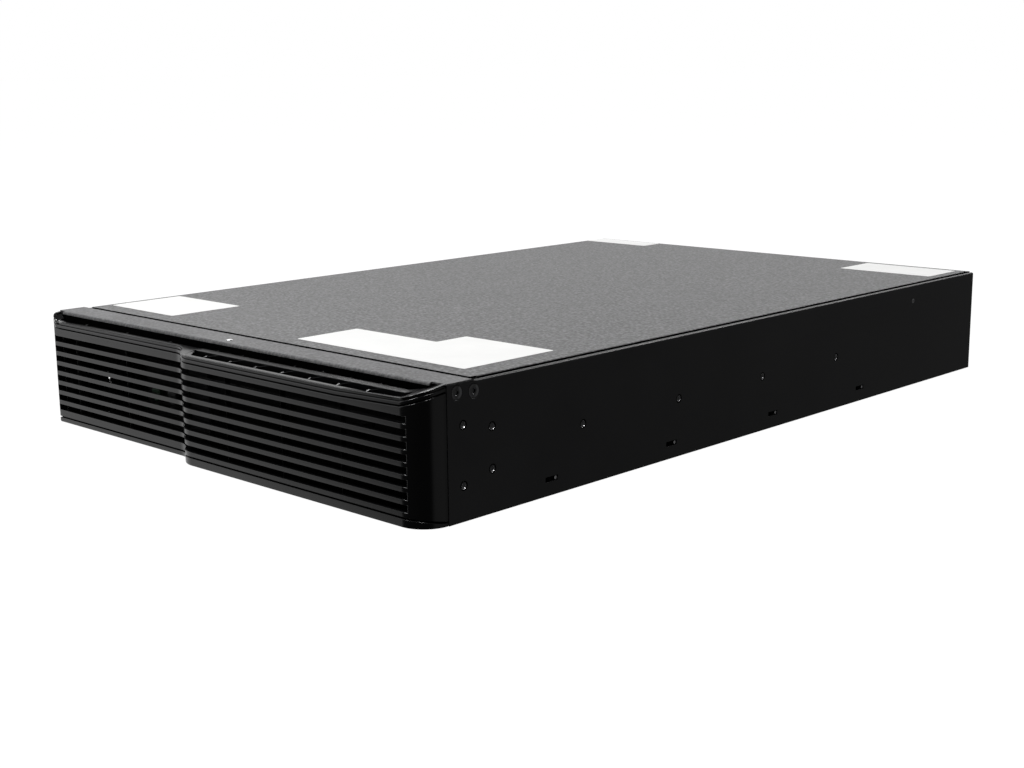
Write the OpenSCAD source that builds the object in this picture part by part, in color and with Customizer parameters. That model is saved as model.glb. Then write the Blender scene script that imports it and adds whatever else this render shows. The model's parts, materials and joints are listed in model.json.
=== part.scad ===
// Rack or tower uninterruptible power supply, two rack units high.
// +X is the right-hand side seen from the front, +Y runs from the front
// bezel to the rear panel and +Z is up. The origin is at the middle of the
// footprint, on the underside. Inside the modules all the drawing is done in
// a working frame whose y = 0 is the seam between bezel and case.

/* [Case] */
// Width of the case, the standard body width between rack posts
case_w = 438; // [436:1:440]
// Height of the case, two rack units less running clearance
case_h = 88; // [87.5:0.1:88.5]
// Length of the case from the bezel seam to the rear panel
case_len = 660; // [655:1:680]
// Thickness of the steel sheet
sheet = 1.2; // [1:0.1:1.4]
// Depth of the fixed strip between the bezel and the top cover
strip_d = 24.6; // [22:0.2:26]
// Gap between the top cover and the folded side edges
cover_gap = 1.5; // [1:0.1:2]

/* [Front bezel] */
// How far the wide right-hand part stands in front of the seam
bulge = 20; // [18:0.5:22]
// How far the narrow left-hand part stands in front of the seam
low_face = 8; // [7.5:0.25:8.5]
// Radius of the right-hand corner seen from above
corner_r = 20; // [18:0.5:20]
// Radius of the left-hand corner seen from above
left_r = 5; // [4:0.5:6]
// Where the step between the two parts begins
step_x0 = -50; // [-56:1:-46]
// Where the step between the two parts ends
step_x1 = -20; // [-24:1:-14]
// Number of louvre gaps
gap_count = 8; // [6:1:8]
// Height of one louvre gap
gap_h = 4.3; // [4:0.1:4.6]
// Pitch of the louvres
gap_pitch = 7.85; // [7.6:0.05:7.95]
// Height of the lowest edge of the lowest gap
gap_z0 = 9.9; // [9:0.1:11]
// Depth of a louvre bar from front to back
bar_d = 4.5; // [3.5:0.5:5]

/* [Battery] */
// Number of battery rows from front to back
battery_rows = 3; // [2:1:3]
// Length of one battery block
battery_l = 151; // [140:1:151]
// Thickness of one battery block, lying on its side
battery_t = 65; // [60:1:65]
// Travel of the tray out of the case
tray_travel = 400; // [300:10:420]

/* [Fans] */
// Side of the square fan frame
fan_size = 80; // [76:1:80]
// Number of blades of a fan
blade_count = 7; // [5:1:9]

/* [Hidden] */
$fn = 48;
rear_out = 6;                                 // furthest piece behind the rear panel
seam_y = bulge - (bulge + case_len + rear_out) / 2;
hw = case_w / 2;
in_x = hw - sheet;                            // inner face of a side wall
top_z = case_h;
rear_y = case_len;
top_slope = atan(1 / 6);
lip_z = top_z - 9.6;                          // top of the bezel at its foremost edge
step_h = bulge - low_face;
step_a = 2 * atan(step_h / (step_x1 - step_x0));
step_r = (step_x1 - step_x0) / (2 * sin(step_a));
bay_x0 = 0;
bay_x1 = 206;
bay_rear = 496;
tray_y1 = 470;
fan_x = [-170, -87];
fan_z = 44;
fan_y = rear_y - sheet - 26;

// ---- helpers ----
module fr() translate([0, seam_y, 0]) children();
module bx(x0, x1, y0, y1, z0, z1) translate([x0, y0, z0]) cube([x1 - x0, y1 - y0, z1 - z0]);
module cyl_x(r, x0, x1, y, z) translate([x0, y, z]) rotate([0, 90, 0]) cylinder(r = r, h = x1 - x0);
module cyl_y(r, x, y0, y1, z) translate([x, y0, z]) rotate([-90, 0, 0]) cylinder(r = r, h = y1 - y0);
module cyl_z(r, x, y, z0, z1) translate([x, y, z0]) cylinder(r = r, h = z1 - z0);
// round bar along a straight run between two points
module rod(a, b, r) {
  d = b - a; l = norm(d);
  translate(a) rotate([0, acos(d[2] / l), atan2(d[1], d[0])]) cylinder(r = r, h = l, $fn = 12);
}
// lead that follows a list of points, its runs carried a little past each bend
module lead(p, r) {
  for (i = [0:len(p) - 2]) {
    u = (p[i + 1] - p[i]) / norm(p[i + 1] - p[i]);
    e = i % 2 == 0 ? 1.05 * r : 0;
    rod(p[i] - (i > 0 ? e : 0) * u, p[i + 1] + (i < len(p) - 2 ? e : 0) * u, i % 2 == 0 ? r : 0.94 * r);
  }
}
function arc(cx, cy, r, a0, a1, n) =
  [for (i = [0:n]) let (a = a0 + (a1 - a0) * i / n) [cx + r * cos(a), cy + r * sin(a)]];

// outline of the bezel front seen from above, moved inwards by t
function bezel_path(t) = concat(
  [[-hw + t, 0]],
  arc(-hw + left_r, -low_face + left_r, left_r - t, 180, 270, 6),
  [for (i = [0:8]) let (a = step_a * i / 8)
    [step_x0 + (step_r + t) * sin(a), -low_face - step_r + (step_r + t) * cos(a)]],
  [for (i = [8:-1:0]) let (a = step_a * i / 8)
    [step_x1 - (step_r - t) * sin(a), -bulge + step_r - (step_r - t) * cos(a)]],
  arc(hw - corner_r, 0, corner_r - t, 270, 360, 18));
function rev(p) = [for (i = [len(p) - 1:-1:0]) p[i]];
module band(t0, t1) polygon(concat(bezel_path(t0), rev(bezel_path(t1))));
module filled(t) polygon(bezel_path(t));
module filled_back(t) polygon(concat([[-hw + t, 2]], bezel_path(t), [[hw - t, 2]]));
// everything that lies lower than the sloping top of the bezel, let down by d
module under(d)
  translate([0, -20, lip_z - d]) rotate([top_slope, 0, 0]) translate([0, 80, 0]) rotate([90, 0, 0])
    linear_extrude(height = 160)
      polygon([[-260, -95], [-260, 34], [-210.6, 0], [hw - 28, 0], [260, 16.2], [260, -95]]);
// everything that lies lower than the sloping line along the bottom rim, raised by d
module below(d)
  translate([0, -20, 5.1 + d]) rotate([-top_slope, 0, 0]) translate([-300, -60, -60]) cube([600, 160, 60]);

// ---- case ----
module side_wall_2d() {
  // section of the right-hand wall in X and Z, with its folded upper edge
  polygon(concat(
    [[in_x, 0], [hw, 0]],
    arc(hw - 1.5, top_z - 2.6, 1.5, 0, 90, 6),
    arc(hw - 2.3, top_z - 1.9, 0.8, 90, 180, 4),
    [[hw - 3.1, top_z - 4.4], [in_x, top_z - 5]]));
}
module side_wall() {
  difference() {
    union() {
      translate([0, rear_y, 0]) rotate([90, 0, 0]) linear_extrude(height = rear_y - strip_d - 1) side_wall_2d();
      bx(in_x, hw, 0.5, strip_d + 1.5, 0, top_z - sheet - 0.2);
    }
    // rack-ear and rail fixing holes
    for (p = ear_pts) cyl_x(3.2, in_x - 5, hw + 1, p[0], p[1]);
    for (p = rail_pts) cyl_x(3.2, in_x - 5, hw + 1, p[0], p[1]);
    // hook slots along the lower edge
    for (y = slot_ys) bx(in_x - 1, hw + 1, y - 6, y + 6, 9.2, 12.8);
    // countersunk holes of the strip screws
    for (p = strip_pts) translate([in_x - 0.01, p[0], p[1]]) rotate([0, 90, 0]) cylinder(r1 = 3.3, r2 = 4.9, h = sheet + 0.02);
    // cover screw holes near the rear
    cyl_x(2.1, in_x - 5, hw + 1, cover_pt[0], cover_pt[1]);
  }
}
ear_pts = [[13.5, 60.8], [13.5, 22.8], [38.6, 55.6], [38.6, 28.6]];
rail_pts = [for (i = [0:3]) [124 + 103 * i, 42]];
slot_ys = [for (i = [0:3]) 93 + 126 * i];
strip_pts = [[8.9, 81.4], [23.3, 80.4]];
cover_pt = [553.5, 73.5];
module chassis_tray() color([0.07, 0.07, 0.075]) fr() {
  bx(-hw, hw, 0.5, rear_y, 0, sheet);
  side_wall();
  mirror([1, 0, 0]) side_wall();
}
module top_cover() color([0.28, 0.28, 0.29]) fr() {
  w = hw - 3.1 - cover_gap;
  bx(-w, w, strip_d + 0.9, rear_y - 4, top_z - sheet, top_z);
  for (s = [-1, 1]) difference() {
    bx(s * w - (s > 0 ? sheet : 0), s * w + (s > 0 ? 0 : sheet), strip_d + 6, rear_y - 8, top_z - 18, top_z - sheet + 0.1);
    cyl_x(1.9, s * w - 3, s * w + 3, cover_pt[0], cover_pt[1]);
  }
  bx(-w + 3, w - 3, rear_y - 5.2, rear_y - 4, top_z - 3.4, top_z - sheet + 0.1);
}
module front_strip() color([0.3, 0.3, 0.31]) fr() difference() {
  union() {
    // flat with a rounded, turned-down front edge
    translate([206.7, 0, 0]) rotate([90, 0, -90]) linear_extrude(height = 417.9)
      polygon(concat([[-strip_d, top_z]], arc(0.2, top_z - 2, 2, 90, 0, 6),
        [[2.2, top_z - 2.3], [1, top_z - 2.3], [1, top_z - 2], [0.4, top_z - sheet], [-strip_d, top_z - sheet]]));
    bx(-hw, hw, 0.3, strip_d, top_z - sheet, top_z);
    for (s = [0, 1]) mirror([s, 0, 0]) {
      bx(in_x - 1.8, in_x - 0.3, 4.5, strip_d + 0.5, top_z - 14, top_z - sheet + 0.1);
      bx(in_x - 1.8, in_x - 0.3, strip_d, strip_d + 4, top_z - 14, top_z - 4.9);
    }
  }
  for (s = [-1, 1]) for (p = strip_pts) cyl_x(2.5, s * in_x - 4, s * in_x + 4, p[0], p[1]);
  cyl_z(1.55, -4.5, 6.5, top_z - 3, top_z + 1);
}
module strip_screws() color([0.2, 0.2, 0.21]) fr()
  for (s = [0, 1]) mirror([s, 0, 0]) for (p = strip_pts) difference() {
    union() {
      translate([in_x + 0.05, p[0], p[1]]) rotate([0, 90, 0]) cylinder(r1 = 2.95, r2 = 4.5, h = sheet - 0.1);
      cyl_x(2.4, in_x - 6, in_x + 0.2, p[0], p[1]);
    }
    translate([hw - 0.7, p[0], p[1]]) rotate([0, 90, 0]) cylinder(r = 1.7, h = 2, $fn = 6);
  }
module strip_rivet() color([0.85, 0.85, 0.86]) fr() union() {
  cyl_z(1.5, -4.5, 6.5, top_z - 3, top_z);
  translate([-4.5, 6.5, top_z]) cylinder(r1 = 2.6, r2 = 2, h = 0.4);
}
module cover_screws() color([0.6, 0.6, 0.62]) fr() for (s = [0, 1]) mirror([s, 0, 0]) difference() {
  union() {
    cyl_x(1.85, in_x - 8, hw, cover_pt[0], cover_pt[1]);
    cyl_x(2.05, in_x + 0.2, hw - 0.2, cover_pt[0], cover_pt[1]);
  }
  translate([hw - 0.8, cover_pt[0], cover_pt[1]]) rotate([0, 90, 0]) cylinder(r = 1.1, h = 2, $fn = 6);
}
// threaded inserts pressed into the side walls, bored for four-millimetre screws
module side_inserts() color([0.72, 0.72, 0.74]) fr()
  for (s = [0, 1]) mirror([s, 0, 0]) for (p = concat(ear_pts, rail_pts)) difference() {
    union() {
      cyl_x(3.15, in_x - 0.2, hw, p[0], p[1]);
      cyl_x(4, in_x - 3, in_x - 0.05, p[0], p[1]);
    }
    cyl_x(2.1, in_x - 6, hw + 1, p[0], p[1]);
  }
// small zinc tabs behind the rear end of each hook slot
module slot_tabs() color([0.65, 0.65, 0.67]) fr()
  for (s = [0, 1]) mirror([s, 0, 0]) for (y = slot_ys) union() {
    bx(in_x - 1.4, in_x - 0.05, y - 2, y + 10, 6.5, 15.5);
    cyl_x(1.3, in_x - 0.3, hw - 0.4, y + 4.3, 11);
  }
module top_labels() color([0.95, 0.95, 0.94]) fr() {
  z0 = top_z + 0.02; z1 = top_z + 0.17;
  bx(-209, -125, 41, 105, z0, z1);
  union() { bx(28, 194, 40, 95, z0, z1); bx(104, 194, 94, 121, z0, z1); }
  bx(-212.5, -135, 629, 655, z0, z1);
  bx(116.5, 206.5, 602.5, 651, z0, z1);
}

// ---- front bezel ----
module gaps() for (i = [0:gap_count - 1])
  bx(-hw + 3.5, hw - 15.5, -bulge - 5, -low_face + 6, gap_z0 + gap_pitch * i, gap_z0 + gap_pitch * i + gap_h);
rib_x = concat([for (i = [0:6]) -4.2 + 28.2 * i], [-61, -117, -173]);
stud_pts = [[-200, 5.4], [-200, 73.6], [211.5, 5.4], [211.5, 73.6]];
module front_bezel() color([0.09, 0.09, 0.095]) fr() difference() {
  union() {
    difference() {
      // shell with a sloping top and a flat floor
      intersection() { linear_extrude(height = top_z) filled(0); under(0); }
      intersection() { translate([0, 0, 2]) linear_extrude(height = 100) filled_back(2.5); under(2.5); }
    }
    // deeper louvre bars
    intersection() {
      translate([0, 0, 7]) linear_extrude(height = 64.5) band(2, bar_d);
      bx(-hw + 4, hw - 13, -50, 0, 0, 100);
    }
    // uprights that tie the bars together behind the face
    for (x = [20, 80, 140]) bx(x - 0.8, x + 0.8, -bulge + 3, -bulge + bar_d + 3, 7, 71.5);
    for (x = [-190, -120]) bx(x - 0.8, x + 0.8, -low_face + 3, -low_face + bar_d + 1.5, 7, 71.5);
    // sockets that snap over the studs
    for (p = stud_pts) cyl_y(4, p[0], p[0] < 0 ? -low_face + 2 : -9, -0.5, p[1]);
  }
  gaps();
  // the rear edge stands clear of the case
  bx(-hw - 1, hw + 1, -0.3, 3, -1, 100);
  // fine lines round the rim, above and below the louvres
  intersection() {
    linear_extrude(height = 100) band(-1, 1.2);
    union() {
      difference() { under(4.5); under(5.3); }
      difference() { under(0.6); under(2.1); }
      difference() { below(1.5); below(0.2); }
    }
  }
  // long slots in the top, with ribs left standing
  difference() {
    union() {
      bx(-211.5, 207, -4.5, 2, 70, 100);
      translate([0, 0, 70]) linear_extrude(height = 30) polygon([[step_x1 + 1.5, -16.5], [201, -16.5], [201, -8], [step_x1 - 5, -8]]);
    }
    for (x = rib_x) intersection() { bx(x - 0.8, x + 0.8, -18, -1.2, 72, 90); under(0.7); }
  }
  for (p = stud_pts) cyl_y(2.55, p[0], -5, 1, p[1]);
}
module bezel_studs() color([0.7, 0.7, 0.72]) fr() for (p = stud_pts) union() {
  cyl_y(2.5, p[0], -4.4, 3.2, p[1]);
  cyl_y(2.95, p[0], 3.25, 5.5, p[1]);
  translate([p[0], -4.4, p[1]]) rotate([90, 0, 0]) cylinder(r1 = 2.5, r2 = 1.9, h = 0.5);
}

// ---- plate behind the bezel ----
panel_x0 = -100; panel_x1 = -24;
module front_plate() color([0.12, 0.12, 0.125]) fr() difference() {
  union() {
    bx(-in_x + 2, in_x - 2, 2, 3.2, sheet + 0.2, top_z - sheet - 0.5);
    bx(-in_x + 2, in_x - 2, 2, 14, sheet + 0.1, 2 * sheet);
  }
  bx(bay_x0, bay_x1, 1, 15, sheet + 0.8, 70.6);
  bx(panel_x0 + 2, panel_x1 - 2, 1, 5, 18, 62);
  for (p = stud_pts) cyl_y(2.55, p[0], 1, 4, p[1]);
  for (x = [-5.5, 208.6]) cyl_y(1.8, x, 1, 4, 36);
  // staggered air holes
  for (i = [0:11]) for (j = [0:5]) cyl_y(3.1, -190 + i * 7.6 + (j % 2) * 3.8, 1, 4, 18 + j * 8);
}
module control_panel() color([0.15, 0.15, 0.16]) fr() difference() {
  union() {
    bx(panel_x0, panel_x1, 0.2, 1.9, 16, 64);
    bx(panel_x0 + 2.2, panel_x1 - 2.2, 1.9, 18, 18.2, 61.8);
  }
  bx(panel_x0 + 4, panel_x1 - 4, 3, 17, 20, 60);
  for (x = [-86, -66]) cyl_y(6.06, x, 0, 4, 40);
  for (i = [0:3]) cyl_y(1.6, -48 + 0 * i, 0, 4, 28 + 8 * i);
}
module status_lights() color([0.35, 0.75, 0.4]) fr() for (i = [0:3]) union() {
  cyl_y(1.55, -48, -0.4, 3.6, 28 + 8 * i);
  cyl_y(2.4, -48, 3.3, 5.5, 28 + 8 * i);
}
module button(x) union() {
  cyl_y(6, x, -1.8, 5, 40);
  cyl_y(7.5, x, 3.4, 5, 40);
  translate([x, -1.8, 40]) rotate([90, 0, 0]) cylinder(r1 = 6, r2 = 5.3, h = 0.6);
}
module power_button() color([0.25, 0.6, 0.35]) fr() button(-86);
module select_button() color([0.6, 0.6, 0.62]) fr() button(-66);

// ---- battery tray ----
tray_x0 = 1; tray_x1 = 205;
module battery_tray() color([0.5, 0.5, 0.52]) fr() difference() {
  union() {
    bx(tray_x0, tray_x1, 1.2, tray_y1, 2.4, 2.4 + sheet);
    bx(tray_x0, tray_x0 + sheet, 1.2, tray_y1, 2.4, 40);
    bx(tray_x1 - sheet, tray_x1, 1.2, tray_y1, 2.4, 40);
    bx(tray_x0, tray_x1, tray_y1 - sheet, tray_y1, 2.4, 60);
    bx(-10, 207, 0.2, 1.4, 2.4, 69.5);
    bx(207, 214.5, 0.2, 1.4, 14, 62);
  }
  for (x = [-5.5, 208.6]) cyl_y(1.55, x, -1, 3, 36);
  bx(86, 120, tray_y1 - 3, tray_y1 + 3, 26, 50);
}
handle_y = -4.6; handle_z = 50;
module tray_handle() color([0.75, 0.75, 0.77]) fr() union() {
  for (x = [70, 140]) cyl_z(2, x, handle_y, handle_z - 27, handle_z + 0);
  for (x = [70, 140]) translate([x, handle_y, handle_z]) sphere(r = 2, $fn = 24);
  for (x = [70, 140]) translate([x, handle_y, handle_z - 27]) sphere(r = 2, $fn = 24);
  cyl_x(2, 70, 140, handle_y, handle_z - 27);
  cyl_x(2, 62, 70, handle_y, handle_z);
  cyl_x(2, 140, 148, handle_y, handle_z);
}
module handle_brackets() color([0.3, 0.3, 0.31]) fr() for (x = [61.5, 142.5]) difference() {
  union() {
    bx(x, x + 6, handle_y - 3.4, 0.15, handle_z - 3.6, handle_z + 3.6);
    bx(x - 4, x + 10, -1.2, 0.15, handle_z - 8, handle_z + 8);
  }
  cyl_x(2.06, x - 6, x + 12, handle_y, handle_z);
}
bat_w = 95;
function bat_x(c) = c == 0 ? 3.2 : tray_x1 - 2.2 - bat_w;
function bat_y(r) = 6 + r * (battery_l + 2);
module battery_blocks() color([0.16, 0.17, 0.2]) fr()
  for (c = [0, 1]) for (r = [0:battery_rows - 1]) difference() {
    bx(bat_x(c), bat_x(c) + bat_w, bat_y(r), bat_y(r) + battery_l, 3.7, 3.7 + battery_t);
    // raised lid edge, seen as a shallow step round the terminal side
    for (z = [3, 3.7 + battery_t - 0.8]) bx(c == 0 ? bat_x(0) + bat_w - 14 : bat_x(1) - 1, c == 0 ? bat_x(0) + bat_w + 1 : bat_x(1) + 14,
      bat_y(r) - 1, bat_y(r) + battery_l + 1, z, z + 1.5);
  }
module battery_terminals() color([0.8, 0.75, 0.6]) fr()
  for (c = [0, 1]) for (r = [0:battery_rows - 1]) for (e = [14, battery_l - 14])
    bx(c == 0 ? bat_x(0) + bat_w : bat_x(1) - 3.5, c == 0 ? bat_x(0) + bat_w + 3.5 : bat_x(1),
      bat_y(r) + e - 3.2, bat_y(r) + e + 3.2, 54, 54.8);
module jumper_leads() color([0.7, 0.1, 0.1]) fr() {
  // links between neighbouring blocks of a column, and down to the plug
  for (c = [0, 1]) for (r = [0:battery_rows - 2]) {
    x = c == 0 ? bat_x(0) + bat_w + 2.7 : bat_x(1) - 2.7;
    lead([[x, bat_y(r) + battery_l - 14, 57.1], [x, bat_y(r) + battery_l - 8, 62], [x, bat_y(r + 1) + 8, 62], [x, bat_y(r + 1) + 14, 57.1]], 2);
  }
  for (c = [0, 1]) {
    x = c == 0 ? bat_x(0) + bat_w + 2.3 : bat_x(1) - 2.3;
    lead([[x, bat_y(battery_rows - 1) + battery_l - 14, 51.6], [x, bat_y(battery_rows - 1) + battery_l - 9, 46], [x, tray_y1 - 15, 46], [x, tray_y1 - 9, 41]], 2);
  }
}
module battery_straps() color([0.55, 0.55, 0.57]) fr() for (y = [70, 380]) union() {
  bx(tray_x0, tray_x1, y, y + 18, 3.9 + battery_t, 4.9 + battery_t);
  for (s = [0, 1]) bx(s == 0 ? tray_x0 : tray_x1 - 1, s == 0 ? tray_x0 + 1 : tray_x1, y, y + 18, 40.05, 4.9 + battery_t);
}
module tray_plug() color([0.1, 0.25, 0.55]) fr() difference() {
  union() {
    bx(86.3, 119.7, tray_y1 - 1, tray_y1 + 14, 26.3, 49.7);
    bx(82, 124, tray_y1 + 0.1, tray_y1 + 3, 22, 54);
    bx(86.3, 119.7, tray_y1 - 6.5, tray_y1 - 0.5, 26.3, 49.7);
  }
  for (x = [92, 106]) bx(x, x + 8, tray_y1 + 4, tray_y1 + 15, 31, 45);
}
module tray_thumbscrews() color([0.7, 0.7, 0.72]) fr() for (x = [-5.5, 208.6]) union() {
  difference() {
    cyl_y(5, x, -6.5, 0.1, 36);
    for (i = [0:11]) rotate_at(x, 36, i * 30) bx(4.6, 6, -7, -1, -0.5, 0.5);
    bx(x - 4, x + 4, -7, -5.6, 35.5, 36.5);
  }
  cyl_y(1.5, x, 0, 7, 36);
}
module rotate_at(x, z, a) translate([x, 0, z]) rotate([0, a, 0]) children();
module slide_strips() color([0.85, 0.85, 0.82]) fr()
  for (x = [24, 166]) bx(x, x + 16, 16, bay_rear - 4, sheet + 0.02, 2.1);

// ---- inside the case ----
module divider_wall() color([0.55, 0.56, 0.57]) fr() {
  union() {
    bx(-3.4, -2.2, 16, bay_rear + 1.2, sheet + 0.1, 84);
    bx(-14, -2.2, 16, bay_rear + 1.2, sheet + 0.1, 2 * sheet);
  }
}
module bay_rear_wall() color([0.55, 0.56, 0.57]) fr() difference() {
  union() {
    bx(-2.1, in_x - 6, bay_rear, bay_rear + 1.2, sheet + 0.1, 84);
    bx(-2.1, in_x - 6, bay_rear, bay_rear + 10, sheet + 0.1, 2 * sheet);
  }
  bx(84, 122, bay_rear - 2, bay_rear + 3, 24, 52);
}
module bay_socket() color([0.12, 0.3, 0.6]) fr() difference() {
  union() {
    bx(84.3, 121.7, bay_rear - 20, bay_rear + 12, 24.3, 51.7);
    bx(80, 126, bay_rear + 1.3, bay_rear + 4, 20, 56);
  }
  bx(85.9, 120.1, bay_rear - 21, bay_rear - 6, 25.9, 50.1);
}
module battery_leads() color([0.65, 0.1, 0.1]) fr() {
  lead([[98, bay_rear + 12.1, 36], [98, bay_rear + 19, 36], [80, bay_rear + 34, 24], [-20, bay_rear + 34, 24], [-40, bay_rear + 22, 20], [-40, 470, 20], [-40, 464, 12.6]], 2.5);
  lead([[108, bay_rear + 12.1, 40], [108, bay_rear + 24, 40], [84, bay_rear + 33, 38], [-22, bay_rear + 33, 38], [-56, bay_rear + 24, 30], [-56, 470, 24], [-56, 464, 12.6]], 2.5);
}
module main_board() color([0.1, 0.35, 0.18]) fr() difference() {
  bx(-211, -16, 40, 482, 8, 9.6);
  for (p = standoff_pts) cyl_z(1.6, p[0], p[1], 7, 11);
}
standoff_pts = [for (x = [-205, -22]) for (y = [48, 260, 474]) [x, y]];
module board_standoffs() color([0.8, 0.7, 0.45]) fr() {
  for (p = standoff_pts) difference() {
    union() { cyl_z(3, p[0], p[1], sheet + 0.02, 7.98); cyl_z(1.5, p[0], p[1], 7, 9.6); cyl_z(2.8, p[0], p[1], 9.62, 11.4); }
    translate([p[0], p[1], 10.6]) cylinder(r = 1.2, h = 2, $fn = 6);
  }
  for (x = [131, 208]) for (y = [560, 622]) cyl_z(3, x, y, sheet + 0.02, 7.98);
  for (x = [-190, -20]) for (y = [520, 600]) cyl_z(2.5, x, y, sheet + 0.02, 46.9);
}
module heat_sinks() color([0.7, 0.71, 0.73]) fr() for (x = [-198, -78]) union() {
  bx(x, x + 6, 200, 420, 9.8, 72);
  for (i = [0:7]) bx(x + (x < -100 ? -0.1 : 5.9), x + (x < -100 ? 30 : 36), 200, 420, 10 + i * 8.6, 12 + i * 8.6);
}
module power_transistors() color([0.08, 0.08, 0.08]) fr() for (i = [0:6]) {
  translate([0, 206 + i * 29, 0]) bx(-202.9, -198.1, 0, 16, 20, 41);
  translate([0, 206 + i * 29, 0]) bx(-82.9, -78.1, 0, 16, 20, 41);
}
module bus_capacitors() color([0.15, 0.2, 0.45]) fr() for (i = [0:5]) for (j = [0, 1]) {
  x = -148 + j * 34; y = 218 + i * 36;
  union() { cyl_z(15, x, y, 9.7, 55); translate([x, y, 55]) cylinder(r1 = 15, r2 = 13.6, h = 1.2); }
}
module choke_coils() color([0.55, 0.3, 0.12]) fr() for (p = [[-178, 130], [-118, 130], [-58, 130]])
  translate([p[0], p[1], 20]) rotate_extrude($fn = 48) translate([17, 0]) circle(r = 9.6, $fn = 24);
module relays() color([0.12, 0.13, 0.14]) fr() for (i = [0:5])
  bx(-204 + i * 24, -186 + i * 24, 440, 456, 9.7, 28);
module transformer_core() color([0.3, 0.3, 0.32]) fr() difference() {
  bx(30, 120, 543, 583, sheet + 0.05, 63);
  bx(44, 62, 540, 590, 13, 51);
  bx(88, 106, 540, 590, 13, 51);
}
module transformer_coil() color([0.7, 0.5, 0.2]) fr() difference() {
  bx(46, 104, 534, 592, 14.5, 49.5);
  bx(61.8, 88.2, 542.8, 583.2, 8, 60);
}
module filter_board() color([0.1, 0.35, 0.18]) fr() bx(126, 214, 555, 628, 8, 9.6);
module filter_chokes() color([0.55, 0.3, 0.12]) fr() {
  for (x = [150, 190]) translate([x, 588, 19]) rotate_extrude($fn = 48) translate([11, 0]) circle(r = 6.5, $fn = 24);
  for (x = [140, 165, 190]) bx(x, x + 20, 557, 569, 9.7, 26);
}
module control_board() color([0.08, 0.3, 0.4]) fr() union() {
  bx(-196, -14, 512, 608, 47, 48.6);
  bx(-150, -128, 540, 562, 48.5, 51);
  bx(-90, -78, 530, 560, 48.5, 52);
  bx(-60, -30, 592, 604, 48.5, 57);
}
module control_cable() color([0.55, 0.55, 0.58]) fr() {
  // flat ribbon along the divider, from the panel behind the bezel to the control board
  union() {
    bx(-40, -26, 18.1, 19, 30, 44);
    bx(-27, -26, 18.1, 30, 30, 44);
    bx(-27, -6, 29, 30, 30, 44);
    bx(-7, -6, 29, 505, 30, 44);
    bx(-24, -6, 504, 505, 30, 49.6);
    bx(-24, -14.1, 504, 512, 48.7, 49.6);
  }
}
module inlet_leads() color([0.2, 0.2, 0.6]) fr() {
  for (i = [0:2]) lead([[-17 + i * 7, rear_y - 26.3, 62], [-17 + i * 7, rear_y - 54 + i * 5, 62],
    [132 + i * 6, rear_y - 54 + i * 5, 40], [132 + i * 6, rear_y - 54 + i * 5, 10.2]], 1.6);
}

// ---- rear ----
inlet_x = -10; inlet_z = 61;
out_x = [46, 78, 110]; out_z = [26, 62];
big_x = 150; big_z = 61;
brk_x = [-30, 10]; brk_z = 22;
module rear_panel() color([0.09, 0.09, 0.095]) fr() difference() {
  union() {
    bx(-in_x + 0.3, in_x - 0.3, rear_y - sheet, rear_y, sheet + 0.1, top_z - 5);
    bx(-hw + 3.5, hw - 3.5, rear_y - sheet, rear_y, sheet + 0.1, top_z - 0.4);
    bx(-in_x + 4, in_x - 4, rear_y - 3.6, rear_y, top_z - 1.6, top_z - 0.4);
    bx(-in_x + 0.3, in_x - 0.3, rear_y - 14, rear_y, sheet + 0.02, 2 * sheet);
  }
  for (x = fan_x) {
    cyl_y(37, x, rear_y - 3, rear_y + 1, fan_z);
    for (a = [-36, 36]) for (b = [-36, 36]) cyl_y(2.2, x + a, rear_y - 3, rear_y + 1, fan_z + b);
  }
  bx(inlet_x - 16.4, inlet_x + 16.4, rear_y - 3, rear_y + 1, inlet_z - 12.4, inlet_z + 12.4);
  for (a = [-20.5, 20.5]) cyl_y(1.7, inlet_x + a, rear_y - 3, rear_y + 1, inlet_z);
  bx(31.6, 124.4, rear_y - 3, rear_y + 1, 10.6, 77.4);
  bx(big_x - 16.4, big_x + 16.4, rear_y - 3, rear_y + 1, big_z - 14.4, big_z + 14.4);
  for (x = brk_x) cyl_y(6.1, x, rear_y - 3, rear_y + 1, brk_z);
  bx(133.6, 166.4, rear_y - 3, rear_y + 1, 12.6, 35.4);
  bx(176, 210, rear_y - 3, rear_y + 1, 40, 76);
  for (z = [34.5, 81.5]) cyl_y(1.7, 193, rear_y - 3, rear_y + 1, z);
  bx(175.6, 188.4, rear_y - 3, rear_y + 1, 12.6, 25.4);
  bx(192.6, 209.4, rear_y - 3, rear_y + 1, 10.6, 25.4);
  cyl_y(2.1, 21.5, rear_y - 3, rear_y + 1, 44);
}
module power_inlet() color([0.05, 0.05, 0.055]) fr() difference() {
  union() {
    bx(inlet_x - 16, inlet_x + 16, rear_y - 26, rear_y + 2.4, inlet_z - 12, inlet_z + 12);
    bx(inlet_x - 25, inlet_x + 25, rear_y + 0.05, rear_y + 2.4, inlet_z - 15, inlet_z + 15);
  }
  translate([inlet_x, rear_y + 3, inlet_z]) rotate([90, 0, 0]) linear_extrude(height = 22)
    polygon([[-14, -10], [14, -10], [14, 5], [9.5, 10], [-9.5, 10], [-14, 5]]);
  for (a = [-20.5, 20.5]) cyl_y(1.7, inlet_x + a, rear_y - 3, rear_y + 4, inlet_z);
}
module inlet_pins() color([0.8, 0.8, 0.78]) fr() for (p = [[-6.5, -3], [6.5, -3], [0, 4]])
  bx(inlet_x + p[0] - 1, inlet_x + p[0] + 1, rear_y - 19, rear_y - 2, inlet_z + p[1] - 2.6, inlet_z + p[1] + 2.6);
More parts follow.
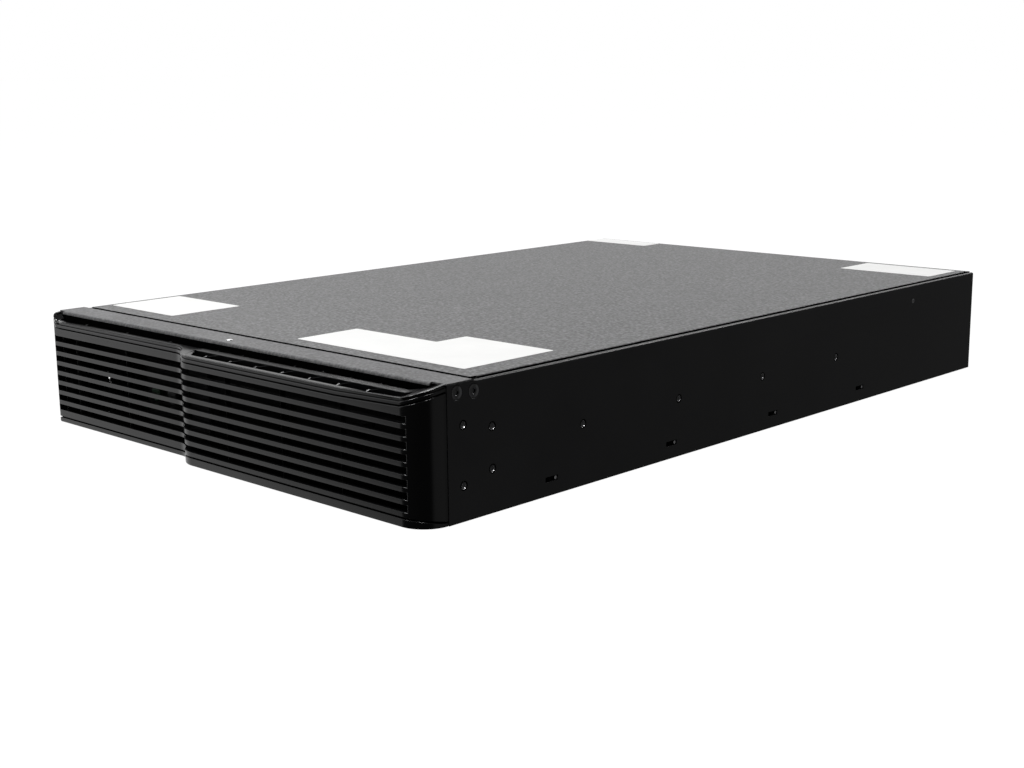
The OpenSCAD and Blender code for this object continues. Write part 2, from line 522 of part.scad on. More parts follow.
// recess of one outlet: a ring round a block that has three slots
module outlet_cut(w, h, sw, sh) {
  difference() {
    translate([0, 4, 0]) rotate([90, 0, 0]) linear_extrude(height = 18)
      polygon([[-w / 2, -h / 2], [w / 2, -h / 2], [w / 2, h / 2 - 4], [w / 2 - 4, h / 2], [-w / 2 + 4, h / 2], [-w / 2, h / 2 - 4]]);
    rotate([90, 0, 0]) translate([0, 0, -0.5]) linear_extrude(height = 20)
      polygon([[-w / 2 + 2.6, -h / 2 + 2.6], [w / 2 - 2.6, -h / 2 + 2.6], [w / 2 - 2.6, h / 2 - 5], [w / 2 - 5, h / 2 - 2.6], [-w / 2 + 5, h / 2 - 2.6], [-w / 2 + 2.6, h / 2 - 5]]);
  }
  for (p = [[-w * 0.27, -h * 0.12], [w * 0.27, -h * 0.12], [0, h * 0.2]])
    translate([p[0] - sw / 2, -12, p[1] - sh / 2]) cube([sw, 16, sh]);
}
module outlet_block() color([0.05, 0.05, 0.055]) fr() difference() {
  union() {
    bx(32, 124, rear_y - 20, rear_y + 1.6, 11, 77);
    bx(28.5, 127.5, rear_y + 0.05, rear_y + 1.6, 7, 81);
  }
  for (x = out_x) for (z = out_z) translate([x, rear_y + 1, z]) outlet_cut(25, 20, 2.2, 5);
}
module large_outlet() color([0.05, 0.05, 0.055]) fr() difference() {
  union() {
    bx(big_x - 16, big_x + 16, rear_y - 22, rear_y + 1.6, big_z - 14, big_z + 14);
    bx(big_x - 19, big_x + 19, rear_y + 0.05, rear_y + 1.6, big_z - 17, big_z + 17);
  }
  translate([big_x, rear_y + 1, big_z]) outlet_cut(28, 23, 2.4, 7);
}
module breaker_bushings() color([0.1, 0.1, 0.1]) fr() for (x = brk_x) difference() {
  union() {
    cyl_y(6, x, rear_y - 4, rear_y + 3, brk_z);
    bx(x - 9, x + 9, rear_y - 30, rear_y - 3.9, brk_z - 14, brk_z + 14);
    translate([x, rear_y + 0.05, brk_z]) rotate([-90, 0, 0]) cylinder(r = 8, h = 1.8, $fn = 6);
  }
  cyl_y(3.66, x, rear_y - 12, rear_y + 4, brk_z);
}
module breaker_button(x) union() {
  cyl_y(3.6, x, rear_y - 8, rear_y + rear_out - 0.6, brk_z);
  translate([x, rear_y + rear_out - 0.6, brk_z]) rotate([-90, 0, 0]) cylinder(r1 = 3.6, r2 = 3, h = 0.6);
}
module breaker_button_left() color([0.8, 0.8, 0.78]) fr() breaker_button(brk_x[0]);
module breaker_button_right() color([0.8, 0.8, 0.78]) fr() breaker_button(brk_x[1]);
module battery_port() color([0.1, 0.25, 0.55]) fr() difference() {
  union() {
    bx(134, 166, rear_y - 22, rear_y + 2.4, 13, 35);
    bx(131, 169, rear_y + 0.05, rear_y + 1.4, 9, 39);
  }
  for (x = [137, 152]) bx(x, x + 11, rear_y - 10, rear_y + 4, 16, 32);
  for (x = [137, 152]) bx(x + 4.6, x + 6.4, rear_y - 18, rear_y, 19, 29);
}
module data_ports() color([0.7, 0.7, 0.72]) fr() {
  difference() {
    bx(176, 188, rear_y - 14, rear_y + 1.2, 13, 25);
    difference() { bx(177.6, 186.4, rear_y - 9, rear_y + 2, 15, 23); bx(179.3, 184.7, rear_y - 10, rear_y - 0.5, 17.4, 20.6); }
  }
  difference() {
    bx(193, 209, rear_y - 16, rear_y + 1.2, 11, 25);
    bx(195.1, 206.9, rear_y - 12, rear_y + 2, 13, 20.4);
    bx(198.5, 203.5, rear_y - 12, rear_y + 2, 20, 22.6);
  }
}
module card_cover() color([0.12, 0.12, 0.125]) fr() difference() {
  union() {
    bx(173, 213, rear_y + 0.05, rear_y + 1.25, 31, 85);
    bx(176.4, 209.6, rear_y - 5, rear_y + 0.1, 40.4, 75.6);
  }
  bx(177.6, 208.4, rear_y - 6, rear_y - 1, 41.6, 74.4);
  for (z = [34.5, 81.5]) cyl_y(1.7, 193, rear_y - 6, rear_y + 3, z);
  for (i = [0:5]) bx(181, 205, rear_y - 6, rear_y + 3, 46 + i * 4.6, 47.8 + i * 4.6);
}
module pan_screw(x, y, z, r, l) difference() {
  union() {
    cyl_y(r, x, y - l, y + 0.1, z);
    cyl_y(2.1 * r, x, y, y + 0.7 * r, z);
    translate([x, y + 0.7 * r, z]) rotate([-90, 0, 0]) cylinder(r1 = 2.1 * r, r2 = 1.3 * r, h = 0.5 * r);
  }
  for (a = [0, 90]) translate([x, 0, z]) rotate([0, a, 0]) bx(-0.28 * r, 0.28 * r, y + 0.45 * r, y + 3 * r, -1.1 * r, 1.1 * r);
}
module rear_screws() color([0.75, 0.75, 0.77]) fr() {
  for (a = [-20.5, 20.5]) pan_screw(inlet_x + a, rear_y + 2.45, inlet_z, 1.6, 5);
  for (z = [34.5, 81.5]) pan_screw(193, rear_y + 1.3, z, 1.6, 4);
  pan_screw(21.5, rear_y + 0.05, 44, 1.9, 6);
}
module fan_frames() color([0.1, 0.1, 0.105]) fr() for (x = fan_x) translate([x, fan_y, fan_z]) difference() {
  union() {
    difference() {
      bx(-fan_size / 2, fan_size / 2, 0, 25, -fan_size / 2, fan_size / 2);
      cyl_y(37.5, 0, -1, 26, 0);
    }
    // motor seat on four arms, on the inner side
    cyl_y(17, 0, 0.2, 4, 0);
    for (a = [45:90:315]) rotate([0, a, 0]) bx(10, 38.2, 0.5, 3.5, -2, 2);
  }
  for (a = [-36, 36]) for (b = [-36, 36]) cyl_y(2.2, a, -1, 26, b);
  cyl_y(2.05, 0, -1, 5, 0);
}
module fan_rotor(x) fr() translate([x, fan_y, fan_z]) union() {
  difference() { cyl_y(18, 0, 5, 22, 0); cyl_y(16.5, 0, 4, 20.5, 0); }
  cyl_y(2, 0, 0.8, 21, 0);
  for (i = [0:blade_count - 1]) rotate([0, i * 360 / blade_count, 0]) translate([26.4, 14, 0]) rotate([38, 0, 0])
    bx(-9.4, 9.4, -0.8, 0.8, -9, 9);
}
module fan_rotor_left() color([0.16, 0.16, 0.165]) fan_rotor(fan_x[0]);
module fan_rotor_right() color([0.16, 0.16, 0.165]) fan_rotor(fan_x[1]);
module fan_guards() color([0.78, 0.78, 0.8]) fr() for (x = fan_x) translate([x, rear_y + 1.2, fan_z]) union() {
  for (r = [8, 15, 22, 29, 36]) rotate([-90, 0, 0]) rotate_extrude($fn = 60) translate([r - 0.8, -0.8]) square([1.6, 1.6]);
  for (a = [45, 135]) rotate([0, a, 0]) bx(-48.5, 48.5, 0.6, 2.3, -0.9, 0.9);
  for (a = [45:90:315]) rotate([0, a, 0]) translate([36 * sqrt(2), 0, 0]) rotate([-90, 0, 0]) difference() {
    union() {
      translate([0, 0, -1.15]) cylinder(r = 3.6, h = 3.55);
      translate([0, 0, -8]) cylinder(r = 2.1, h = 8.2);
    }
    translate([0, 0, 1.4]) cylinder(r = 1.6, h = 2, $fn = 6);
  }
}

chassis_tray();
top_cover();
front_strip();
front_plate();
front_bezel();
bezel_studs();
strip_screws();
strip_rivet();
cover_screws();
side_inserts();
slot_tabs();
top_labels();
control_panel();
status_lights();
power_button();
select_button();
battery_tray();
tray_handle();
handle_brackets();
battery_blocks();
battery_terminals();
jumper_leads();
battery_straps();
tray_plug();
tray_thumbscrews();
slide_strips();
divider_wall();
bay_rear_wall();
bay_socket();
battery_leads();
main_board();
board_standoffs();
heat_sinks();
power_transistors();
bus_capacitors();
choke_coils();
relays();
transformer_core();
transformer_coil();
filter_board();
filter_chokes();
control_board();
control_cable();
inlet_leads();
rear_panel();
power_inlet();
inlet_pins();
outlet_block();
large_outlet();
breaker_bushings();
breaker_button_left();
breaker_button_right();
battery_port();
data_ports();
card_cover();
rear_screws();
fan_frames();
fan_rotor_left();
fan_rotor_right();
fan_guards();
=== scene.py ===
import json
import math

import bmesh
import bpy
from mathutils import Matrix, Vector


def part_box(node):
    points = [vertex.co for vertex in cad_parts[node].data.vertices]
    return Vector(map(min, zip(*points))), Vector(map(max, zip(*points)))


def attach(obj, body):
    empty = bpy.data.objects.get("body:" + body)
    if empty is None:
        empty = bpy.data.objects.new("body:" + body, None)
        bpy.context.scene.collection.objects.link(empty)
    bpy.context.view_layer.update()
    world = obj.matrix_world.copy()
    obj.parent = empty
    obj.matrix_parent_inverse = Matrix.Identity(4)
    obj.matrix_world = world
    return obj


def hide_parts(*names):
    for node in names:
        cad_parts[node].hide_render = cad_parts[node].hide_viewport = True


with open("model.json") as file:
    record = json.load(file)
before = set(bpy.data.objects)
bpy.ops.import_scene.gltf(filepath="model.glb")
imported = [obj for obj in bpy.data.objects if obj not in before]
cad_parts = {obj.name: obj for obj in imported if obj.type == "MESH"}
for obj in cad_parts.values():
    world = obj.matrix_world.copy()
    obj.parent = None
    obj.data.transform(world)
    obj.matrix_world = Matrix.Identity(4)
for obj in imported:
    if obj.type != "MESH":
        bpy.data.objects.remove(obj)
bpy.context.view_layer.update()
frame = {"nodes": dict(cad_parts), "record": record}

NODES = frame["nodes"]
MM = 0.001
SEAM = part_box("front_strip")[0].y + 0.0022   # the seam between bezel and case; the strip's lip stands 2.2 mm in front of it


def P(x, y, z):
    """A point in millimetres from the seam, as a point of the row frame in metres."""
    return Vector((x * MM, y * MM + SEAM, z * MM))


# ------------------------------------------------------------------ camera, floor and light
scene = bpy.context.scene
scene.view_settings.view_transform = "Standard"
scene.view_settings.look = "None"
scene.view_settings.exposure = 0.0
scene.view_settings.gamma = 1.0

RIGHT = Vector((0.72471425, 0.68898101, -0.00971762))
DOWN = Vector((0.13364158, -0.15437993, -0.97893144))
AHEAD = Vector((-0.67596538, 0.70814689, -0.20395784))
cam_data = bpy.data.cameras.new("view_camera")
cam_data.sensor_fit = "HORIZONTAL"
cam_data.sensor_width = 36.0
cam_data.lens = 1519.763 / 1024 * 36.0
cam_data.clip_start = 0.01
cam_data.clip_end = 100.0
cam = bpy.data.objects.new("view_camera", cam_data)
scene.collection.objects.link(cam)
m = Matrix.Identity(4)
for i in range(3):
    m[i][0], m[i][1], m[i][2] = RIGHT[i], -DOWN[i], -AHEAD[i]
m.translation = Vector((0.856928, -0.611663 + SEAM, 0.271817))
cam.matrix_world = m
scene.camera = cam


def area(name, at, to, size, size_y, power, color=(1, 1, 1), spread=180):
    """A soft box at one point, facing another; power is in watts."""
    d = bpy.data.lights.new(name, "AREA")
    d.shape = "RECTANGLE"
    d.size, d.size_y = size, size_y
    d.energy = power
    d.color = color
    d.spread = math.radians(spread)
    o = bpy.data.objects.new(name, d)
    scene.collection.objects.link(o)
    o.location = at
    o.rotation_mode = "QUATERNION"
    o.rotation_quaternion = (Vector(to) - Vector(at)).to_track_quat("-Z", "Y")
    o.visible_camera = False
    return o


area("light_key", (-1.42, 0.45, 1.86), (0, 0, 0), 0.5, 0.5, 14)
area("light_front", (-0.95, -1.35, 2.0), (0, -0.2, 0), 0.5, 0.5, 26)
area("light_rim", (0.55, -0.9, 1.7), (0.2, -0.3, 0.05), 0.4, 0.4, 9)
area("light_edge", (0.60, 2.3, 2.0), (0, 0, 0.05), 0.7, 0.7, 20)

world = bpy.data.worlds.new("studio")
scene.world = world
world.use_nodes = True
wt = world.node_tree
wt.nodes.clear()


def wnode(kind, **kw):
    n = wt.nodes.new(kind)
    for k, v in kw.items():
        setattr(n, k, v)
    return n


def wmath(op, a, b, c=None):
    n = wnode("ShaderNodeMath", operation=op)
    for i, v in enumerate((a, b, c)):
        if v is None:
            continue
        if isinstance(v, (int, float)):
            n.inputs[i].default_value = v
        else:
            wt.links.new(v, n.inputs[i])
    return n.outputs[0]


def wramp(value, a, b, lo, hi):
    n = wnode("ShaderNodeMapRange", interpolation_type="SMOOTHSTEP")
    wt.links.new(value, n.inputs["Value"])
    for k, v in (("From Min", a), ("From Max", b), ("To Min", lo), ("To Max", hi)):
        n.inputs[k].default_value = v
    return n.outputs["Result"]


def wdot(vec, to):
    """Cosine between a direction and a level direction given by its bearing: 0 is straight ahead of the front, 90 its right-hand side."""
    t = math.radians(to)
    n = wnode("ShaderNodeVectorMath", operation="DOT_PRODUCT")
    wt.links.new(vec, n.inputs[0])
    n.inputs[1].default_value = (math.sin(t), -math.cos(t), 0)
    return n.outputs["Value"]


w_out = wnode("ShaderNodeOutputWorld")
w_mix = wnode("ShaderNodeMixShader")
w_path = wnode("ShaderNodeLightPath")
w_seen = wnode("ShaderNodeBackground")
w_fill = wnode("ShaderNodeBackground")
w_dir = wnode("ShaderNodeTexCoord").outputs["Generated"]
w_flat = wnode("ShaderNodeVectorMath", operation="MULTIPLY")
wt.links.new(w_dir, w_flat.inputs[0])
w_flat.inputs[1].default_value = (1, 1, 0)
w_level = wnode("ShaderNodeVectorMath", operation="NORMALIZE")
wt.links.new(w_flat.outputs[0], w_level.inputs[0])
w_sep = wnode("ShaderNodeSeparateXYZ")
wt.links.new(w_dir, w_sep.inputs[0])
level = w_level.outputs[0]
height = w_sep.outputs["Z"]
# the white table and backdrop on the left of the object, low down
left = wramp(wdot(level, -112), math.cos(math.radians(70)), math.cos(math.radians(56)), 0.0, 1.0)
low = wramp(height, 0.66, 0.40, 0.0, 1.0)
deep = wramp(height, -0.70, -0.40, 0.02, 1.0)
white = wmath("MULTIPLY", wmath("MULTIPLY", left, low), wmath("MULTIPLY", deep, wramp(height, -0.15, 0.15, 0.95, 1.3)))
# a dim upright card at the right
card = wmath("MULTIPLY", wramp(wdot(level, 100), math.cos(math.radians(34)), math.cos(math.radians(16)), 0.0, 1.0),
             wramp(height, 0.75, 0.35, 0.0, 1.0))
# a soft overhead patch, slightly towards the front
over = wramp(height, 0.72, 0.95, 0.0, 1.0)
back = wmath("MULTIPLY", wramp(wdot(level, 180), math.cos(math.radians(60)), math.cos(math.radians(25)), 0.0, 1.0),
             wramp(height, 0.7, 0.3, 0.0, 1.0))
total = wmath("MULTIPLY_ADD", white, 0.85, 0.02)
total = wmath("MULTIPLY_ADD", card, 0.14, total)
total = wmath("MULTIPLY_ADD", over, 0.15, total)
total = wmath("MULTIPLY_ADD", back, 0.06, total)
w_seen.inputs["Color"].default_value = (1, 1, 1, 1)
w_seen.inputs["Strength"].default_value = 1.0
w_fill.inputs["Color"].default_value = (1, 1, 1, 1)
wt.links.new(total, w_fill.inputs["Strength"])
wt.links.new(w_path.outputs["Is Camera Ray"], w_mix.inputs["Fac"])
wt.links.new(w_fill.outputs[0], w_mix.inputs[1])
wt.links.new(w_seen.outputs[0], w_mix.inputs[2])
wt.links.new(w_mix.outputs[0], w_out.inputs["Surface"])

floor_me = bpy.data.meshes.new("floor")
floor_me.from_pydata([(-40, -40, -0.0004), (40, -40, -0.0004), (40, 40, -0.0004), (-40, 40, -0.0004)], [], [(0, 1, 2, 3)])
floor = bpy.data.objects.new("floor", floor_me)
scene.collection.objects.link(floor)
fm = bpy.data.materials.new("floor_white")
fm.use_nodes = True
ft = fm.node_tree
ft.nodes.clear()
f_out = ft.nodes.new("ShaderNodeOutputMaterial")
f_add = ft.nodes.new("ShaderNodeAddShader")
f_em = ft.nodes.new("ShaderNodeEmission")
f_df = ft.nodes.new("ShaderNodeBsdfDiffuse")
f_em.inputs["Color"].default_value = (1, 1, 1, 1)
f_em.inputs["Strength"].default_value = 0.99
f_df.inputs["Color"].default_value = (0.06, 0.06, 0.06, 1)
ft.links.new(f_em.outputs[0], f_add.inputs[0])
ft.links.new(f_df.outputs[0], f_add.inputs[1])
ft.links.new(f_add.outputs[0], f_out.inputs["Surface"])
floor_me.materials.append(fm)
floor.visible_diffuse = False
floor.visible_glossy = False
floor.visible_shadow = False


# ------------------------------------------------------------------ materials
def mixed(nt, fac, a, b):
    """Colour mix driven by a varying factor."""
    n = nt.nodes.new("ShaderNodeMix")
    n.data_type = "RGBA"
    n.clamp_factor = True
    nt.links.new(fac, n.inputs["Factor"])
    for key, v in (("A", a), ("B", b)):
        s = [x for x in n.inputs if x.name == key and x.type == "RGBA"][0]
        if isinstance(v, (tuple, list)):
            s.default_value = (v[0], v[1], v[2], 1)
        else:
            nt.links.new(v, s)
    return [x for x in n.outputs if x.type == "RGBA"][0]


def ranged(nt, value, a, b, lo=0.0, hi=1.0):
    n = nt.nodes.new("ShaderNodeMapRange")
    nt.links.new(value, n.inputs["Value"])
    n.inputs["From Min"].default_value = a
    n.inputs["From Max"].default_value = b
    n.inputs["To Min"].default_value = lo
    n.inputs["To Max"].default_value = hi
    return n.outputs["Result"]


def noise(nt, vec, scale, detail=4.0, rough=0.55):
    n = nt.nodes.new("ShaderNodeTexNoise")
    n.inputs["Scale"].default_value = scale
    n.inputs["Detail"].default_value = detail
    n.inputs["Roughness"].default_value = rough
    nt.links.new(vec, n.inputs["Vector"])
    return n.outputs["Fac"]


def stretched(nt, vec, scale):
    n = nt.nodes.new("ShaderNodeMapping")
    n.inputs["Scale"].default_value = scale
    nt.links.new(vec, n.inputs["Vector"])
    return n.outputs["Vector"]


def surface(name, base, rough, metallic=0.0, spec=0.5, coat=0.0, coat_rough=0.15, sheen=0.0, var=0.10,
            cloud=22.0, grain=900.0, depth=0.03, speck=0.05, rough_var=0.05, along=None, wear=0.0,
            wear_color=None, wear_r=0.5, peel=0.0, peel_scale=160.0, weave=None, ior=1.5, shade_zones=None, grit=0.0):
    """A finished surface: clouded colour, fine grain in colour and height, uneven gloss and lightly worn edges.
    depth and wear_r are in millimetres; scales are per metre; along stretches the grain for a brushed or rolled finish.
    Its zones argument marks painted shade: each zone is an axis and two places in metres, and between them the surface
    changes to matt black, standing in for the shadow in gaps and recesses."""
    mat = bpy.data.materials.new(name)
    mat.use_nodes = True
    nt = mat.node_tree
    nt.nodes.clear()
    out = nt.nodes.new("ShaderNodeOutputMaterial")
    b = nt.nodes.new("ShaderNodeBsdfPrincipled")
    nt.links.new(b.outputs[0], out.inputs["Surface"])
    b.inputs["Metallic"].default_value = metallic
    b.inputs["Specular IOR Level"].default_value = spec
    b.inputs["IOR"].default_value = ior
    b.inputs["Coat Weight"].default_value = coat
    b.inputs["Coat Roughness"].default_value = coat_rough
    b.inputs["Sheen Weight"].default_value = sheen
    tc = nt.nodes.new("ShaderNodeTexCoord")
    vec = tc.outputs["Object"]
    big = noise(nt, vec, cloud, 5.0, 0.6)
    gvec = stretched(nt, vec, along) if along else vec
    fine = noise(nt, gvec, grain, 3.0, 0.6)
    lo = [max(0.0, c * (1 - var)) for c in base]
    hi = [min(1.0, c * (1 + var)) for c in base]
    color = mixed(nt, ranged(nt, big, 0.3, 0.7), lo, hi)
    spk = [min(1.0, c * (1 + 4 * speck) + 0.4 * speck * 0.05) for c in base]
    color = mixed(nt, ranged(nt, fine, 0.52, 0.78, 0.0, min(1.0, 8 * speck)), color, spk)
    if grit > 0:
        coarse = noise(nt, vec, grain * 0.62, 2.0, 0.5)
        pit = mixed(nt, ranged(nt, coarse, 0.36, 0.52), [c * (1 - grit) for c in base], base)
        crest = mixed(nt, ranged(nt, coarse, 0.52, 0.68), pit, [c * (1 + 1.6 * grit) for c in base])
        blend = nt.nodes.new("ShaderNodeMix")
        blend.data_type = "RGBA"
        blend.blend_type = "MIX"
        nt.links.new(ranged(nt, big, 0.3, 0.7, 0.72, 0.9), blend.inputs["Factor"])
        nt.links.new(color, [x for x in blend.inputs if x.name == "A" and x.type == "RGBA"][0])
        nt.links.new(crest, [x for x in blend.inputs if x.name == "B" and x.type == "RGBA"][0])
        color = [x for x in blend.outputs if x.type == "RGBA"][0]
    r = ranged(nt, big, 0.3, 0.7, max(0.02, rough - rough_var), min(1.0, rough + rough_var))
    if wear > 0:
        bev = nt.nodes.new("ShaderNodeBevel")
        bev.samples = 4
        bev.inputs["Radius"].default_value = wear_r * MM
        geo = nt.nodes.new("ShaderNodeNewGeometry")
        dot = nt.nodes.new("ShaderNodeVectorMath")
        dot.operation = "DOT_PRODUCT"
        nt.links.new(bev.outputs["Normal"], dot.inputs[0])
        nt.links.new(geo.outputs["Normal"], dot.inputs[1])
        edge = ranged(nt, dot.outputs["Value"], 0.985, 0.86, 0.0, 1.0)
        patch = ranged(nt, noise(nt, vec, 140.0, 4.0, 0.7), 0.42, 0.66, 0.15, 1.0)
        mul = nt.nodes.new("ShaderNodeMath")
        mul.operation = "MULTIPLY"
        nt.links.new(edge, mul.inputs[0])
        nt.links.new(patch, mul.inputs[1])
        mask = ranged(nt, mul.outputs[0], 0.0, 1.0, 0.0, wear)
        color = mixed(nt, mask, color, wear_color or [min(1.0, 2.2 * c + 0.03) for c in base])
        add = nt.nodes.new("ShaderNodeMath")
        add.operation = "MULTIPLY_ADD"
        nt.links.new(mask, add.inputs[0])
        add.inputs[1].default_value = -0.12
        nt.links.new(r, add.inputs[2])
        r = add.outputs[0]
    # painted shade: inside each zone the colour is mixed to near black and the gloss taken away
    for zone in shade_zones or ():
        sep = nt.nodes.new("ShaderNodeSeparateXYZ")
        nt.links.new(vec, sep.inputs[0])
        where = sep.outputs[zone[0][-1]]
        if zone[0][0] == "a":
            ab = nt.nodes.new("ShaderNodeMath")
            ab.operation = "ABSOLUTE"
            nt.links.new(where, ab.inputs[0])
            where = ab.outputs[0]
        mask = ranged(nt, where, zone[1], zone[2], 0.0, 1.0)
        if zone is not shade_zones[0]:
            most = nt.nodes.new("ShaderNodeMath")
            most.operation = "MAXIMUM"
            nt.links.new(mask, most.inputs[0])
            nt.links.new(shade_so_far, most.inputs[1])
            mask = most.outputs[0]
        shade_so_far = mask
        # the near-black colour of the painted shade
        black = mixed(nt, ranged(nt, big, 0.3, 0.7), (0.0009, 0.0009, 0.001), (0.0018, 0.0018, 0.0019))
        color = mixed(nt, mask, color, black)
        r = ranged(nt, mask, 0.0, 1.0, rough, 0.8)
        nt.links.new(ranged(nt, mask, 0.0, 1.0, metallic, 0.0), b.inputs["Metallic"])
        nt.links.new(ranged(nt, mask, 0.0, 1.0, spec, 0.04), b.inputs["Specular IOR Level"])
    nt.links.new(color, b.inputs["Base Color"])
    nt.links.new(r, b.inputs["Roughness"])
    normal = None
    if weave:
        wv = nt.nodes.new("ShaderNodeTexWave")
        wv.wave_type = "BANDS"
        wv.bands_direction = weave[0]
        wv.inputs["Scale"].default_value = weave[1]
        wv.inputs["Distortion"].default_value = weave[3] if len(weave) > 3 else 0.3
        nt.links.new(vec, wv.inputs["Vector"])
        bw = nt.nodes.new("ShaderNodeBump")
        bw.inputs["Distance"].default_value = weave[2] * MM
        nt.links.new(wv.outputs["Fac"], bw.inputs["Height"])
        normal = bw.outputs["Normal"]
    if peel > 0:
        bp = nt.nodes.new("ShaderNodeBump")
        bp.inputs["Distance"].default_value = peel * MM
        nt.links.new(noise(nt, vec, peel_scale, 2.0, 0.5), bp.inputs["Height"])
        if normal:
            nt.links.new(normal, bp.inputs["Normal"])
        normal = bp.outputs["Normal"]
    bg = nt.nodes.new("ShaderNodeBump")
    bg.inputs["Distance"].default_value = depth * MM
    nt.links.new(fine, bg.inputs["Height"])
    if normal:
        nt.links.new(normal, bg.inputs["Normal"])
    nt.links.new(bg.outputs["Normal"], b.inputs["Normal"])
    return mat
